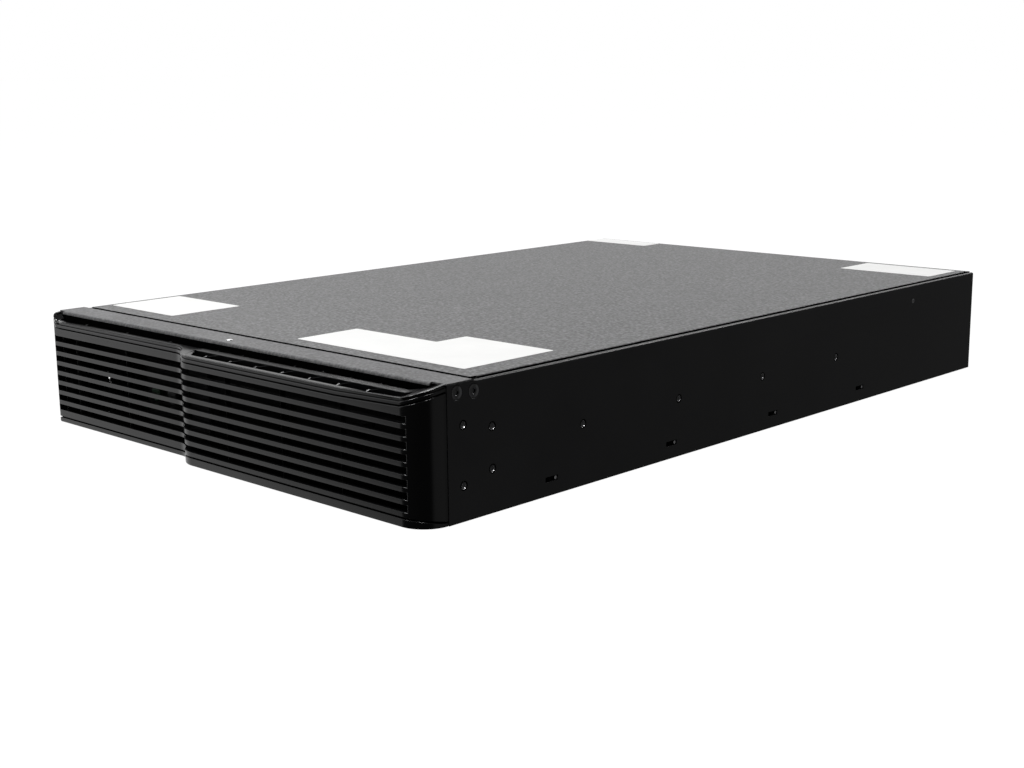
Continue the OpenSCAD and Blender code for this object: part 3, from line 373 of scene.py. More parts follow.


# painted shade: every inner part in front of a plane 18.6 mm behind the seam turns matt black, standing in for the
# shadow behind the louvres
FRONT_SHADE = (("Y", SEAM + 0.0190, SEAM + 0.0186),)
MATS = {
    "case_black": surface("case_black", (0.0165, 0.0165, 0.0175), 0.33, spec=0.5, var=0.14, cloud=9, grain=1500, depth=0.012,
                          speck=0.02, rough_var=0.05, wear=0.35, wear_color=(0.09, 0.09, 0.095), peel=0.01, peel_scale=420),
    "cover_textured": surface("cover_textured", (0.070, 0.070, 0.0722), 0.44, spec=0.45, var=0.12, cloud=9, grain=720, depth=0.11,
                              speck=0.12, grit=0.95, rough_var=0.05, wear=0.3, wear_color=(0.22, 0.22, 0.225), peel=0.03, peel_scale=260,
                              # painted shade: the cover's front edge and the outer faces of its turned-down sides go
                              # matt black, standing in for the shadowed gaps beside the strip and the side walls
                              shade_zones=(("Y", SEAM + 0.02566, SEAM + 0.02562), ("aX", 0.21422, 0.21430))),
    "strip_textured": surface("strip_textured", (0.078, 0.078, 0.0804), 0.48, spec=0.46, var=0.08, cloud=16, grain=800, depth=0.03,
                              speck=0.12, grit=0.6, rough_var=0.05, wear=0.3, wear_color=(0.24, 0.24, 0.245), peel=0.008, peel_scale=260),
    "bezel_plastic": surface("bezel_plastic", (0.0042, 0.0042, 0.0046), 0.19, spec=0.5, var=0.10, cloud=14, grain=2400, depth=0.006,
                             speck=0.02, rough_var=0.04, wear=0.25, wear_color=(0.014, 0.014, 0.015), wear_r=0.4, peel=0.004, peel_scale=300),
    "inner_black": surface("inner_black", (0.016, 0.016, 0.017), 0.6, var=0.15, grain=1500, depth=0.015, wear=0.3,
                           wear_color=(0.10, 0.10, 0.105), shade_zones=FRONT_SHADE),
    "zinc_steel": surface("zinc_steel", (0.60, 0.60, 0.615), 0.28, metallic=1.0, var=0.12, cloud=90, grain=1800, depth=0.006,
                          speck=0.03, rough_var=0.08, wear=0.3, wear_color=(0.8, 0.8, 0.8), shade_zones=FRONT_SHADE),
    "insert_zinc": surface("insert_zinc", (0.62, 0.62, 0.63), 0.26, metallic=1.0, var=0.12, cloud=90, grain=1800, depth=0.006,
                           # painted shade: the outer 0.35 mm of each insert, its face and the mouth of its bore, turns
                           # matt black so only a small lit spot shows inside
                           speck=0.03, rough_var=0.06, shade_zones=(("aX", 0.21860, 0.21866),)),
    "tab_zinc": surface("tab_zinc", (0.62, 0.62, 0.63), 0.26, metallic=1.0, var=0.12, cloud=90, grain=1800, depth=0.006,
                        # painted shade: the tab inside the slot turns matt black, standing in for the shade in the
                        # slot; only its outer bump stays zinc
                        speck=0.03, rough_var=0.06, shade_zones=(("aX", 0.21782, 0.21778),)),
    "dark_screw": surface("dark_screw", (0.17, 0.17, 0.174), 0.24, metallic=1.0, var=0.2, cloud=120, grain=1800, depth=0.01, wear=0.5,
                          wear_color=(0.3, 0.3, 0.31), wear_r=0.25),
    "label_paper": surface("label_paper", (0.91, 0.91, 0.90), 0.5, spec=0.4, var=0.03, cloud=26, grain=1300, depth=0.004, speck=0.004,
                           rough_var=0.06, coat=0.15, coat_rough=0.25),
    "panel_plastic": surface("panel_plastic", (0.008, 0.008, 0.009), 0.7, spec=0.12, var=0.1, grain=1500, depth=0.02, wear=0.3,
                             wear_color=(0.02, 0.02, 0.02)),
    "light_pipe": surface("light_pipe", (0.03, 0.11, 0.045), 0.3, spec=0.15, var=0.1, cloud=200, grain=1500, depth=0.003, speck=0.01),
    "button_green": surface("button_green", (0.02, 0.10, 0.04), 0.5, spec=0.2, var=0.08, cloud=120, grain=1700, depth=0.012, speck=0.02,
                            wear=0.35, wear_color=(0.05, 0.16, 0.07)),
    "button_grey": surface("button_grey", (0.07, 0.07, 0.074), 0.5, spec=0.2, var=0.06, cloud=120, grain=1700, depth=0.012, speck=0.02,
                           wear=0.35, wear_color=(0.12, 0.12, 0.12)),
    "tray_steel": surface("tray_steel", (0.52, 0.53, 0.55), 0.34, metallic=1.0, var=0.16, cloud=38, grain=420, depth=0.006, speck=0.03,
                          rough_var=0.10, along=(1, 0.08, 1), wear=0.25, wear_color=(0.72, 0.72, 0.74), shade_zones=FRONT_SHADE),
    "battery_case": surface("battery_case", (0.032, 0.034, 0.04), 0.46, var=0.12, cloud=30, grain=900, depth=0.03, speck=0.03,
                            wear=0.3, wear_color=(0.09, 0.09, 0.1), shade_zones=FRONT_SHADE),
    "terminal_metal": surface("terminal_metal", (0.72, 0.62, 0.38), 0.26, metallic=1.0, var=0.14, cloud=160, grain=1500, depth=0.006,
                              rough_var=0.08),
    "red_lead": surface("red_lead", (0.42, 0.018, 0.016), 0.42, var=0.12, cloud=90, grain=900, depth=0.012, speck=0.02, coat=0.15),
    "blue_lead": surface("blue_lead", (0.02, 0.04, 0.26), 0.42, var=0.12, cloud=90, grain=900, depth=0.012, speck=0.02, coat=0.15),
    "connector_blue": surface("connector_blue", (0.015, 0.06, 0.26), 0.40, var=0.10, cloud=90, grain=1300, depth=0.015, speck=0.02,
                              wear=0.35, wear_color=(0.08, 0.16, 0.4), shade_zones=FRONT_SHADE),
    "rivet_zinc": surface("rivet_zinc", (0.80, 0.80, 0.81), 0.22, metallic=1.0, var=0.08, cloud=90, grain=1800, depth=0.004,
                          speck=0.03, rough_var=0.05, wear=0.2, wear_color=(0.88, 0.88, 0.88)),
    "nylon_white": surface("nylon_white", (0.72, 0.72, 0.68), 0.48, var=0.05, cloud=60, grain=1100, depth=0.012, speck=0.01, sheen=0.1,
                           shade_zones=FRONT_SHADE),
    "inner_steel": surface("inner_steel", (0.5, 0.51, 0.53), 0.38, metallic=1.0, var=0.18, cloud=60, grain=300, depth=0.006, speck=0.04,
                           rough_var=0.12),
    "board_green": surface("board_green", (0.018, 0.12, 0.045), 0.36, var=0.16, cloud=160, grain=700, depth=0.012, speck=0.03, coat=0.3,
                           weave=("X", 60.0, 0.02, 2.0)),
    "board_blue": surface("board_blue", (0.01, 0.065, 0.15), 0.36, var=0.16, cloud=160, grain=700, depth=0.012, speck=0.03, coat=0.3,
                          weave=("X", 60.0, 0.02, 2.0)),
    "sink_aluminium": surface("sink_aluminium", (0.66, 0.67, 0.69), 0.36, metallic=1.0, var=0.10, cloud=40, grain=500, depth=0.01,
                              rough_var=0.08, along=(1, 0.05, 1)),
    "chip_black": surface("chip_black", (0.014, 0.014, 0.015), 0.5, var=0.12, cloud=120, grain=1400, depth=0.015, wear=0.2),
    "capacitor_sleeve": surface("capacitor_sleeve", (0.016, 0.032, 0.13), 0.24, var=0.12, cloud=60, grain=900, depth=0.01, coat=0.4,
                                coat_rough=0.12),
    "copper_winding": surface("copper_winding", (0.50, 0.19, 0.065), 0.28, metallic=0.85, var=0.16, cloud=90, grain=900, depth=0.01,
                              coat=0.4, coat_rough=0.15),
    "core_steel": surface("core_steel", (0.085, 0.085, 0.092), 0.42, metallic=0.4, var=0.16, cloud=60, grain=900, depth=0.015,
                          weave=("Y", 330.0, 0.08)),
    "coil_tape": surface("coil_tape", (0.52, 0.33, 0.055), 0.32, var=0.12, cloud=60, grain=700, depth=0.01, coat=0.3,
                         weave=("Z", 90.0, 0.05)),
    "ribbon_grey": surface("ribbon_grey", (0.34, 0.34, 0.36), 0.5, var=0.08, cloud=60, grain=900, depth=0.01, weave=("Z", 125.0, 0.25, 0.0)),
    "socket_black": surface("socket_black", (0.012, 0.012, 0.013), 0.42, var=0.12, cloud=60, grain=1500, depth=0.015, speck=0.02,
                            wear=0.3, wear_color=(0.06, 0.06, 0.062)),
    "pin_metal": surface("pin_metal", (0.68, 0.68, 0.66), 0.22, metallic=1.0, var=0.10, cloud=160, grain=1500, depth=0.005, rough_var=0.08),
    "breaker_white": surface("breaker_white", (0.70, 0.70, 0.655), 0.38, var=0.05, cloud=160, grain=1500, depth=0.008, speck=0.01),
    "fan_plastic": surface("fan_plastic", (0.022, 0.022, 0.024), 0.46, var=0.12, cloud=60, grain=1300, depth=0.02, speck=0.02, wear=0.2),
    "guard_wire": surface("guard_wire", (0.72, 0.72, 0.735), 0.16, metallic=1.0, var=0.10, cloud=120, grain=1500, depth=0.004, rough_var=0.06),
}
SLOT_OF = {s["node"]: s["material_slot"] for s in frame["record"]["subparts"]}


# ------------------------------------------------------------------ mesh tools
def recalc(bm):
    bmesh.ops.recalc_face_normals(bm, faces=bm.faces)


def finish_mesh(bm, name, mat, sharp=34.0):
    """A mesh object from bm, smooth with hard edges above the angle and face-weighted normals."""
    me = bpy.data.meshes.new(name)
    bm.normal_update()
    for f in bm.faces:
        f.smooth = True
    for e in bm.edges:
        e.smooth = not (len(e.link_faces) == 2 and e.calc_face_angle(0.0) > math.radians(sharp))
    bm.to_mesh(me)
    bm.free()
    me.materials.append(MATS[mat])
    o = bpy.data.objects.new(name, me)
    scene.collection.objects.link(o)
    w = o.modifiers.new("weighted", "WEIGHTED_NORMAL")
    w.keep_sharp = True
    w.mode = "FACE_AREA"
    w.weight = 90
    return o


def place(o, body, nodes):
    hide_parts(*nodes)
    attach(o, body)
    return o


def bevel_edges(bm, edges, width, segs=2):
    edges = [e for e in edges if e.is_valid]
    if edges:
        bmesh.ops.bevel(bm, geom=edges, offset=width * MM, offset_type="OFFSET", segments=segs, profile=0.5,
                        affect="EDGES", clamp_overlap=True, loop_slide=True)


def bevel_sharp(bm, width, segs=2, angle=40.0, faces=None):
    bm.normal_update()
    pool = set(bm.edges) if faces is None else {e for f in faces for e in f.edges}
    bevel_edges(bm, [e for e in pool if len(e.link_faces) == 2 and e.calc_face_angle(0.0) > math.radians(angle)], width, segs)


def add_poly(bm, bottom, top):
    """A closed prism between two rings of points with the same count."""
    a = [bm.verts.new(p) for p in bottom]
    b = [bm.verts.new(p) for p in top]
    n = len(a)
    made = [bm.faces.new(a), bm.faces.new(b[::-1])]
    for i in range(n):
        made.append(bm.faces.new((a[i], b[i], b[(i + 1) % n], a[(i + 1) % n])))
    return made


def add_box(bm, x0, x1, y0, y1, z0, z1, bevel=0.0, segs=2):
    sub = bmesh.new()
    add_poly(sub, [P(x0, y0, z0), P(x1, y0, z0), P(x1, y1, z0), P(x0, y1, z0)],
             [P(x0, y0, z1), P(x1, y0, z1), P(x1, y1, z1), P(x0, y1, z1)])
    recalc(sub)
    if bevel:
        bevel_sharp(sub, bevel, segs)
    merge(bm, sub)


def merge(bm, sub):
    """Adds a finished closed shell to bm."""
    me = bpy.data.meshes.new("part")
    sub.to_mesh(me)
    sub.free()
    bm.from_mesh(me)
    bpy.data.meshes.remove(me)


def thick_grid(bm, outer, inner, keep):
    """A closed sheet between two grids of points; keep(k, j) says which cells are there.
    Returns the vertices of both grids, to pick edges by."""
    kk, jj = len(outer), len(outer[0])
    vo, vi = {}, {}

    def v(store, grid, k, j):
        if (k, j) not in store:
            store[(k, j)] = bm.verts.new(grid[k][j])
        return store[(k, j)]

    def kept(k, j):
        return 0 <= k < kk - 1 and 0 <= j < jj - 1 and keep(k, j)

    for k in range(kk - 1):
        for j in range(jj - 1):
            if not kept(k, j):
                continue
            c = [(k, j), (k + 1, j), (k + 1, j + 1), (k, j + 1)]
            bm.faces.new([v(vo, outer, *p) for p in c])
            bm.faces.new([v(vi, inner, *p) for p in c[::-1]])
            for (n, a, b) in (((k, j - 1), c[0], c[1]), ((k + 1, j), c[1], c[2]), ((k, j + 1), c[2], c[3]), ((k - 1, j), c[3], c[0])):
                if not kept(*n):
                    bm.faces.new((v(vo, outer, *b), v(vo, outer, *a), v(vi, inner, *a), v(vi, inner, *b)))
    return vo, vi


def edge_between(a, b):
    for e in a.link_edges:
        if e.other_vert(a) is b:
            return e
    return None


def lathe(bm, profile, origin, axis, seg=32, start=0.0):
    """A closed body turned about an axis through origin; profile holds (radius, distance along), both in millimetres."""
    ax = Vector(axis).normalized()
    u = ax.orthogonal().normalized()
    w = ax.cross(u)
    rings = []
    for r, h in profile:
        c = Vector(origin) + ax * (h * MM)
        if r <= 1e-6:
            rings.append([bm.verts.new(c)])
        else:
            rings.append([bm.verts.new(c + (u * math.cos(start + 2 * math.pi * i / seg) + w * math.sin(start + 2 * math.pi * i / seg)) * (r * MM))
                          for i in range(seg)])
    for a, b in zip(rings, rings[1:]):
        for i in range(seg):
            j = (i + 1) % seg
            if len(a) == 1 and len(b) == 1:
                continue
            if len(a) == 1:
                bm.faces.new((a[0], b[i], b[j]))
            elif len(b) == 1:
                bm.faces.new((a[i], b[0], a[j]))
            else:
                bm.faces.new((a[i], b[i], b[j], a[j]))
    return rings


def round_path(pts, radius, steps=6):
    """The points of a path with its corners rounded; points and radius in metres."""
    out = [pts[0]]
    for a, b, c in zip(pts, pts[1:], pts[2:]):
        u, v = (a - b), (c - b)
        lu, lv = u.length, v.length
        u, v = u.normalized(), v.normalized()
        ang = u.angle(v)
        if ang > math.pi - 1e-3:
            out.append(b)
            continue
        d = min(radius / math.tan(ang / 2), 0.48 * lu, 0.48 * lv)
        r = d * math.tan(ang / 2)
        centre = b + (u + v).normalized() * (r / math.sin(ang / 2))
        s, e = b + u * d - centre, b + v * d - centre
        turn = s.angle(e)
        for i in range(steps + 1):
            t = i / steps
            q = (s * math.sin((1 - t) * turn) + e * math.sin(t * turn)) / math.sin(turn)
            out.append(centre + q)
    out.append(pts[-1])
    return out


def tube(bm, pts, r, seg=16, caps=True, close=False):
    """A round bar of radius r in metres along the points."""
    n = len(pts)
    tangents = []
    for i in range(n):
        if close:
            t = pts[(i + 1) % n] - pts[i - 1]
        else:
            t = pts[min(i + 1, n - 1)] - pts[max(i - 1, 0)]
        tangents.append(t.normalized())
    u = tangents[0].orthogonal().normalized()
    rings = []
    for i in range(n):
        t = tangents[i]
        u = (u - t * u.dot(t)).normalized()
        w = t.cross(u)
        rings.append([bm.verts.new(pts[i] + (u * math.cos(2 * math.pi * k / seg) + w * math.sin(2 * math.pi * k / seg)) * r) for k in range(seg)])
    pairs = list(zip(rings, rings[1:])) + ([(rings[-1], rings[0])] if close else [])
    for a, b in pairs:
        for k in range(seg):
            bm.faces.new((a[k], a[(k + 1) % seg], b[(k + 1) % seg], b[k]))
    if not close and caps:
        bm.faces.new(rings[0][::-1])
        bm.faces.new(rings[-1])
    return rings


def circle_points(centre, axis, r, n):
    ax = Vector(axis).normalized()
    u = ax.orthogonal().normalized()
    w = ax.cross(u)
    return [Vector(centre) + (u * math.cos(2 * math.pi * i / n) + w * math.sin(2 * math.pi * i / n)) * r for i in range(n)]


# ------------------------------------------------------------------ front bezel
STEP_A = 2 * math.atan(12.0 / 30.0)
STEP_R = 30.0 / (2 * math.sin(STEP_A))


def plan(st, t):
    """The plan point of a station of the bezel's outline, moved inwards by t."""
    kind, v = st
    if kind == "side":
        return (-219 + t, v)
    if kind == "a1":
        a = math.radians(v)
        return (-214 + (5 - t) * math.cos(a), -3 + (5 - t) * math.sin(a))
    if kind == "left":
        return (v, -8 + t)
    if kind == "s1":
        return (-50 + (STEP_R + t) * math.sin(v), -8 - STEP_R + (STEP_R + t) * math.cos(v))
    if kind == "s2":
        return (-20 - (STEP_R - t) * math.sin(v), -20 + STEP_R - (STEP_R - t) * math.cos(v))
    if kind == "right":
        return (v, -20 + t)
    a = math.radians(v)
    return (199 + (20 - t) * math.sin(a), -(20 - t) * math.cos(a))


def top_at(x, y):
    """Height of the bezel's sloping top, which rises towards both ends."""
    z = 78.4 + (y + 20) / 6
    if x > 191:
        z += 0.235 * (x - 191)
    if x < -210.6:
        z += 0.688 * (-210.6 - x)
    return min(z, 87.98)


GAP_END = 13.0
STATIONS = [("side", -0.3), ("side", -1.6)] + [("a1", 180 + 11.25 * i) for i in range(9)]
STATIONS += [("left", -210.6), ("left", -165.0), ("left", -120.0), ("left", -85.0)]
STATIONS += [("s1", STEP_A * i / 9) for i in range(10)] + [("s2", STEP_A * i / 9) for i in range(8, -1, -1)]
STATIONS += [("right", 30.0), ("right", 85.0), ("right", 140.0)]
STATIONS += [("a2", v) for v in (0, 4.33, 8.67, GAP_END, 18.4, 23.8, 29.2, 34.6, 40.0, 45.4, 50.8, 56.2, 61.6, 67.0, 72.4, 77.8, 83.5, 89.14)]
GAP_Z = [(9.9 + 7.85 * i, 14.2 + 7.85 * i) for i in range(8)]
ROWS = [(0.9, "abs", 0.0), (0.42, "abs", 0.12), (0.12, "abs", 0.42), (0.0, "abs", 0.9),
        (0.0, "bot", 0.1), (0.16, "bot", 0.3), (1.3, "bot", 0.42), (2.3, "bot", 1.36), (0.16, "bot", 1.5), (0.0, "bot", 1.7)]
FIRST_GAP = len(ROWS)
for lo_z, hi_z in GAP_Z:
    ROWS += [(0.0, "abs", lo_z), (0.0, "abs", hi_z)]
LAST_GAP = len(ROWS)
ROWS += [(0.0, "top", -6.1), (0.08, "top", -5.74), (0.3, "top", -5.47), (0.7, "top", -5.33), (1.3, "top", -5.28), (2.3, "top", -4.53), (0.16, "top", -4.42), (0.0, "top", -4.2),
         (0.0, "top", -2.98), (0.09, "top", -2.62), (0.35, "top", -2.32), (0.72, "top", -2.15), (1.3, "top", -2.1), (2.3, "top", -0.74), (0.34, "top", -0.62),
         (0.12, "top", -0.5), (0.04, "top", -0.34), (0.16, "top", -0.12), (0.45, "top", 0.0)]


def row_point(st, row, t_in=None):
    t, mode, v = row
    x, y = plan(st, t)
    _, y0 = plan(st, 0)
    if mode == "abs":
        z = v
    elif mode == "bot":
        z = 5.1 - (y0 + 20) / 6 + v
    else:
        x1, y1 = plan(st, max(t, 0))
        z = top_at(x1, y1) + v
    if t_in is not None:
        x, y = plan(st, t_in)
    return P(x, y, z)


def make_bezel():
    bm = bmesh.new()
    wall = bmesh.new()
    k_gap0 = STATIONS.index(("a1", 258.75))
    k_gap1 = STATIONS.index(("a2", GAP_END))
    outer = [[row_point(st, r) for r in ROWS] for st in STATIONS]
    inner = []
    for k, st in enumerate(STATIONS):
        col = []
        for j, r in enumerate(ROWS):
            deep = FIRST_GAP <= j < LAST_GAP and k_gap0 - 1 <= k <= k_gap1 + 1
            col.append(row_point(st, r, 4.5 if deep else 2.5))
        inner.append(col)

    def is_gap(k, j):
        return FIRST_GAP <= j < LAST_GAP and (j - FIRST_GAP) % 2 == 0 and k_gap0 <= k < k_gap1

    vo, vi = thick_grid(wall, outer, inner, lambda k, j: not is_gap(k, j))
    recalc(wall)
    rims, backs = [], []
    for g in range(8):
        j = FIRST_GAP + 2 * g
        for jj in (j, j + 1):
            for k in range(k_gap0, k_gap1):
                rims.append(edge_between(vo[(k, jj)], vo[(k + 1, jj)]))
                backs.append(edge_between(vi[(k, jj)], vi[(k + 1, jj)]))
        for k in (k_gap0, k_gap1):
            rims.append(edge_between(vo[(k, j)], vo[(k, j + 1)]))
            backs.append(edge_between(vi[(k, j)], vi[(k, j + 1)]))
    bevel_edges(wall, [e for e in rims if e], 0.6, 3)
    bevel_edges(wall, [e for e in backs if e], 0.35, 1)
    merge(bm, wall)

    # top slab with its two long slots
    edge = []
    for st in STATIONS:
        x, y = plan(st, 1.3)
        if not edge or x > edge[-1][0] + 1e-6:
            edge.append((x, y))
        elif y > edge[-1][1] and x < 0:
            edge[-1] = (x, y)

    def front_y(x):
        for (xa, ya), (xb, yb) in zip(edge, edge[1:]):
            if xa - 1e-9 <= x <= xb + 1e-9:
                return ya + (yb - ya) * (x - xa) / (xb - xa)
        return edge[0][1] if x < edge[0][0] else edge[-1][1]

    cuts = sorted({round(x, 4) for x, _ in edge} | {-211.5, -210.6, -25.0, -18.5, 191.0, 201.0, 207.0})

    def cells(x0, x1):
        mid = (x0 + x1) / 2
        if mid < -211.5 or mid > 207:
            return [(None, -0.3)]
        if mid < -25 or mid > 201:
            return [(None, -4.5)]
        if mid < -18.5:
            return [(None, "slant"), (-8.0, -4.5)]
        return [(None, -16.5), (-8.0, -4.5)]

    def raised(x, y):
        """The slab's rear margin leans forward, a little steeper than the rest."""
        start = -8.0 if x > -22 else -6.7
        ends = min(1.0, max(0.0, (x + 210.6) / 20.0)) * min(1.0, max(0.0, (207.0 - x) / 12.0))
        height = 0.72 if x > -22 else 0.45
        return height * ends * min(1.0, max(0.0, (y - start) / (-4.5 - start)))

    def at(v, x):
        """A cell's limit at one place along the front; the slot's left end runs alongside the step."""
        if v is None:
            return round(front_y(x), 5)
        if v == "slant":
            return round(-8.0 - 8.5 * (x + 25.0) / 6.5, 5)
        return v

    def levels(x):
        found = set()
        for a, b in zip(cuts, cuts[1:]):
            if a <= x <= b and (abs(a - x) < 1e-9 or abs(b - x) < 1e-9):
                for lo, hi in cells(a, b):
                    found |= {at(lo, x), at(hi, x)}
        return sorted(found)

    slab = bmesh.new()
    made = {}

    def sv(x, y, low):
        key = (round(x, 4), round(y, 4), low)
        if key not in made:
            made[key] = slab.verts.new(P(x, y, top_at(x, y) + raised(x, y) - 0.02 - (2.5 if low else 0)))
        return made[key]

    sides = {}
    for a, b in zip(cuts, cuts[1:]):
        for lo, hi in cells(a, b):
            ring = [(b, y) for y in levels(b) if at(lo, b) - 1e-6 <= y <= at(hi, b) + 1e-6] + \
                   [(a, y) for y in reversed(levels(a)) if at(lo, a) - 1e-6 <= y <= at(hi, a) + 1e-6]
            ring = [p for i, p in enumerate(ring) if p != ring[i - 1]]
            if len(ring) < 3:
                continue
            slab.faces.new([sv(x, y, False) for x, y in ring])
            slab.faces.new([sv(x, y, True) for x, y in reversed(ring)])
            for p, q in zip(ring, ring[1:] + ring[:1]):
                if (q, p) in sides:
                    del sides[(q, p)]
                else:
                    sides[(p, q)] = True
    for p, q in sides:
        slab.faces.new((sv(*q, False), sv(*p, False), sv(*p, True), sv(*q, True)))
    recalc(slab)
    slab.normal_update()
    rim = []
    for e in slab.edges:
        if len(e.link_faces) == 2 and e.calc_face_angle(0.0) > math.radians(50):
            a, b = e.verts
            flat = max(abs(f.normal.z) for f in e.link_faces)
            rim.append(e) if flat > 0.8 else None
    bevel_edges(slab, rim, 0.4, 2)
    merge(bm, slab)

    # ribs across the slots, standing highest beside the bar in front of them
    for x in [-4.2 + 28.2 * i for i in range(7)] + [-61, -117, -173]:
        spans = [(-18.0, -15.9, -13.4, -6.5), (-5.6, -4.4, -2.5, -1.2)] if x > -15 else [(-5.6, -4.4, -2.5, -1.2)]
        for k, (ya, yb, yc, yd) in enumerate(spans):
            lift = 0.62 if len(spans) == 1 or k == 1 else -0.1
            top = [(ya, lift - 0.9), (yb, lift), (yc, lift + 0.35), (yc + 0.5, lift - 0.4), (yd, -1.9)]
            base = [(yd, -2.8), (ya, -2.8)]
            sub = bmesh.new()
            sides_ = []
            for dx in (-0.8, 0.8):
                sides_.append([sub.verts.new(P(x + dx, y, top_at(x, y) + z)) for y, z in top + base])
            sub.faces.new(sides_[0])
            sub.faces.new(list(reversed(sides_[1])))
            n = len(sides_[0])
            for i in range(n):
                j = (i + 1) % n
                sub.faces.new((sides_[0][j], sides_[0][i], sides_[1][i], sides_[1][j]))
            recalc(sub)
            bevel_sharp(sub, 0.25, 2)
            merge(bm, sub)

    # floor of the shell
    sub = bmesh.new()
    ring = [plan(st, 1.6) for st in STATIONS]
    add_poly(sub, [P(x, y, 0.03) for x, y in ring], [P(x, y, 2.0) for x, y in ring])
    recalc(sub)
    merge(bm, sub)

    # uprights that tie the bars together behind the face
    for x, ya, yb in ((20, -16.6, -12.5), (80, -16.6, -12.5), (140, -16.6, -12.5), (-190, -4.6, -2.0), (-120, -4.6, -2.0)):
        ring = [(x, ya), (x + 0.9, yb), (x - 0.9, yb)]
        sub = bmesh.new()
        add_poly(sub, [P(px, py, 7) for px, py in ring], [P(px, py, 71.5) for px, py in ring])
        recalc(sub)
        bevel_sharp(sub, 0.15, 1)
        merge(bm, sub)

    # sockets that snap over the studs
    for x, z in ((-200, 5.4), (-200, 73.6), (211.5, 5.4), (211.5, 73.6)):
        end = -6.0 if x < 0 else -9.0
        sub = bmesh.new()
        lathe(sub, [(0, -end), (4.0, -end), (4.0, 0.8), (3.75, 0.5), (2.9, 0.5), (2.55, 0.9), (2.55, 5.0), (0, 5.0)],
              P(x, 0, z), (0, -1, 0), 28)
        recalc(sub)
        merge(bm, sub)

    o = finish_mesh(bm, "bezel_shell", "bezel_plastic", 38.0)
    return place(o, "bezel", ["front_bezel"])


make_bezel()


# ------------------------------------------------------------------ top cover and strip, as bent sheet
def arc_pts(cx, cz, r, a0, a1, n):
    return [(cx + r * math.cos(math.radians(a0 + (a1 - a0) * i / n)), cz + r * math.sin(math.radians(a0 + (a1 - a0) * i / n)))
            for i in range(n + 1)]


def make_cover():
    n = 6
    right_o = arc_pts(213.5, 87.1, 0.9, 90, 0, n) + [(214.4, 70.0)]
    right_i = arc_pts(212.9, 86.5, 0.3, 90, 0, n) + [(213.2, 70.0)]
    prof_o = [(-x, z) for x, z in reversed(right_o)] + right_o
    prof_i = [(-x, z) for x, z in reversed(right_i)] + right_i
    mid = len(right_o) - 1
    ys = [25.5, 30.6, 652.0, 656.0]
    bm = bmesh.new()
    outer = [[P(x, y, z) for x, z in prof_o] for y in ys]
    inner = [[P(x, y, z) for x, z in prof_i] for y in ys]
    thick_grid(bm, outer, inner, lambda k, j: j == mid or k == 1)
    recalc(bm)
    bevel_sharp(bm, 0.3, 2, 60)
    # turned-down lip at the rear
    add_box(bm, -210, 210, 654.7, 655.9, 84.7, 87.4, 0.25)
    o = finish_mesh(bm, "cover_sheet", "cover_textured", 34)
    place(o, "case", ["top_cover"])


make_cover()


def make_strip():
    front_o = [(24.6, 87.05), (21.7, 88.0), (0.3, 88.0)] + [(-0.2 - 2.0 * math.sin(math.radians(a)), 86.0 + 2.0 * math.cos(math.radians(a))) for a in range(0, 91, 15)] + [(-2.2, 85.75)]
    front_i = [(24.6, 86.8), (21.7, 86.8), (0.3, 86.8)] + [(-0.2 - 0.8 * math.sin(math.radians(a)), 86.0 + 0.8 * math.cos(math.radians(a))) for a in range(0, 91, 15)] + [(-1.0, 85.75)]
    xs = [-219.0, -211.2, 206.7, 219.0]
    bm = bmesh.new()
    outer = [[P(x, y, z) for y, z in front_o] for x in xs]
    inner = [[P(x, y, z) for y, z in front_i] for x in xs]
    thick_grid(bm, outer, inner, lambda k, j: j <= 1 or k == 1)
    recalc(bm)
    bevel_sharp(bm, 0.3, 2, 60)
    for s in (-1, 1):
        a, b = sorted((s * 216.0, s * 217.5))
        add_box(bm, a, b, 4.5, 28.6, 74.0, 83.0, 0.2)
        add_box(bm, a, b, 4.5, 25.1, 82.0, 86.85, 0.2)
    o = finish_mesh(bm, "strip_sheet", "strip_textured", 34)
    place(o, "case", ["front_strip"])


make_strip()


def make_labels():
    bm = bmesh.new()

    def soft(poly, r):
        pts = [Vector((x, y, 0)) for x, y in poly]
        out = []
        n = len(pts)
        for i in range(n):
            out += round_path([pts[i - 1], pts[i], pts[(i + 1) % n]], r, 4)[1:-1]
        return out

    def paper(poly, r=1.6):
        ring = soft(poly, r)
        sub = bmesh.new()
        add_poly(sub, [P(p.x, p.y, 88.02) for p in ring], [P(p.x, p.y, 88.16) for p in ring])
        recalc(sub)
        bevel_sharp(sub, 0.05, 1, 50)
        merge(bm, sub)

    paper([(-209, 41), (-125, 41), (-125, 105), (-209, 105)])
    paper([(28, 40), (194, 40), (194, 123.5), (111.5, 123.5), (111.5, 95), (28, 95)])
    paper([(-212.5, 629), (-135, 629), (-135, 655), (-212.5, 655)])
    paper([(116.5, 602.5), (206.5, 602.5), (206.5, 651), (116.5, 651)])
    o = finish_mesh(bm, "label_sheets", "label_paper", 40)
    place(o, "case", ["top_labels"])


make_labels()


# ------------------------------------------------------------------ fixings in the side walls
EARS = [(13.5, 60.8), (13.5, 22.8), (38.6, 55.6), (38.6, 28.6)]
RAILS = [(124 + 103 * i, 42) for i in range(4)]
TABS = [93 + 126 * i for i in range(4)]


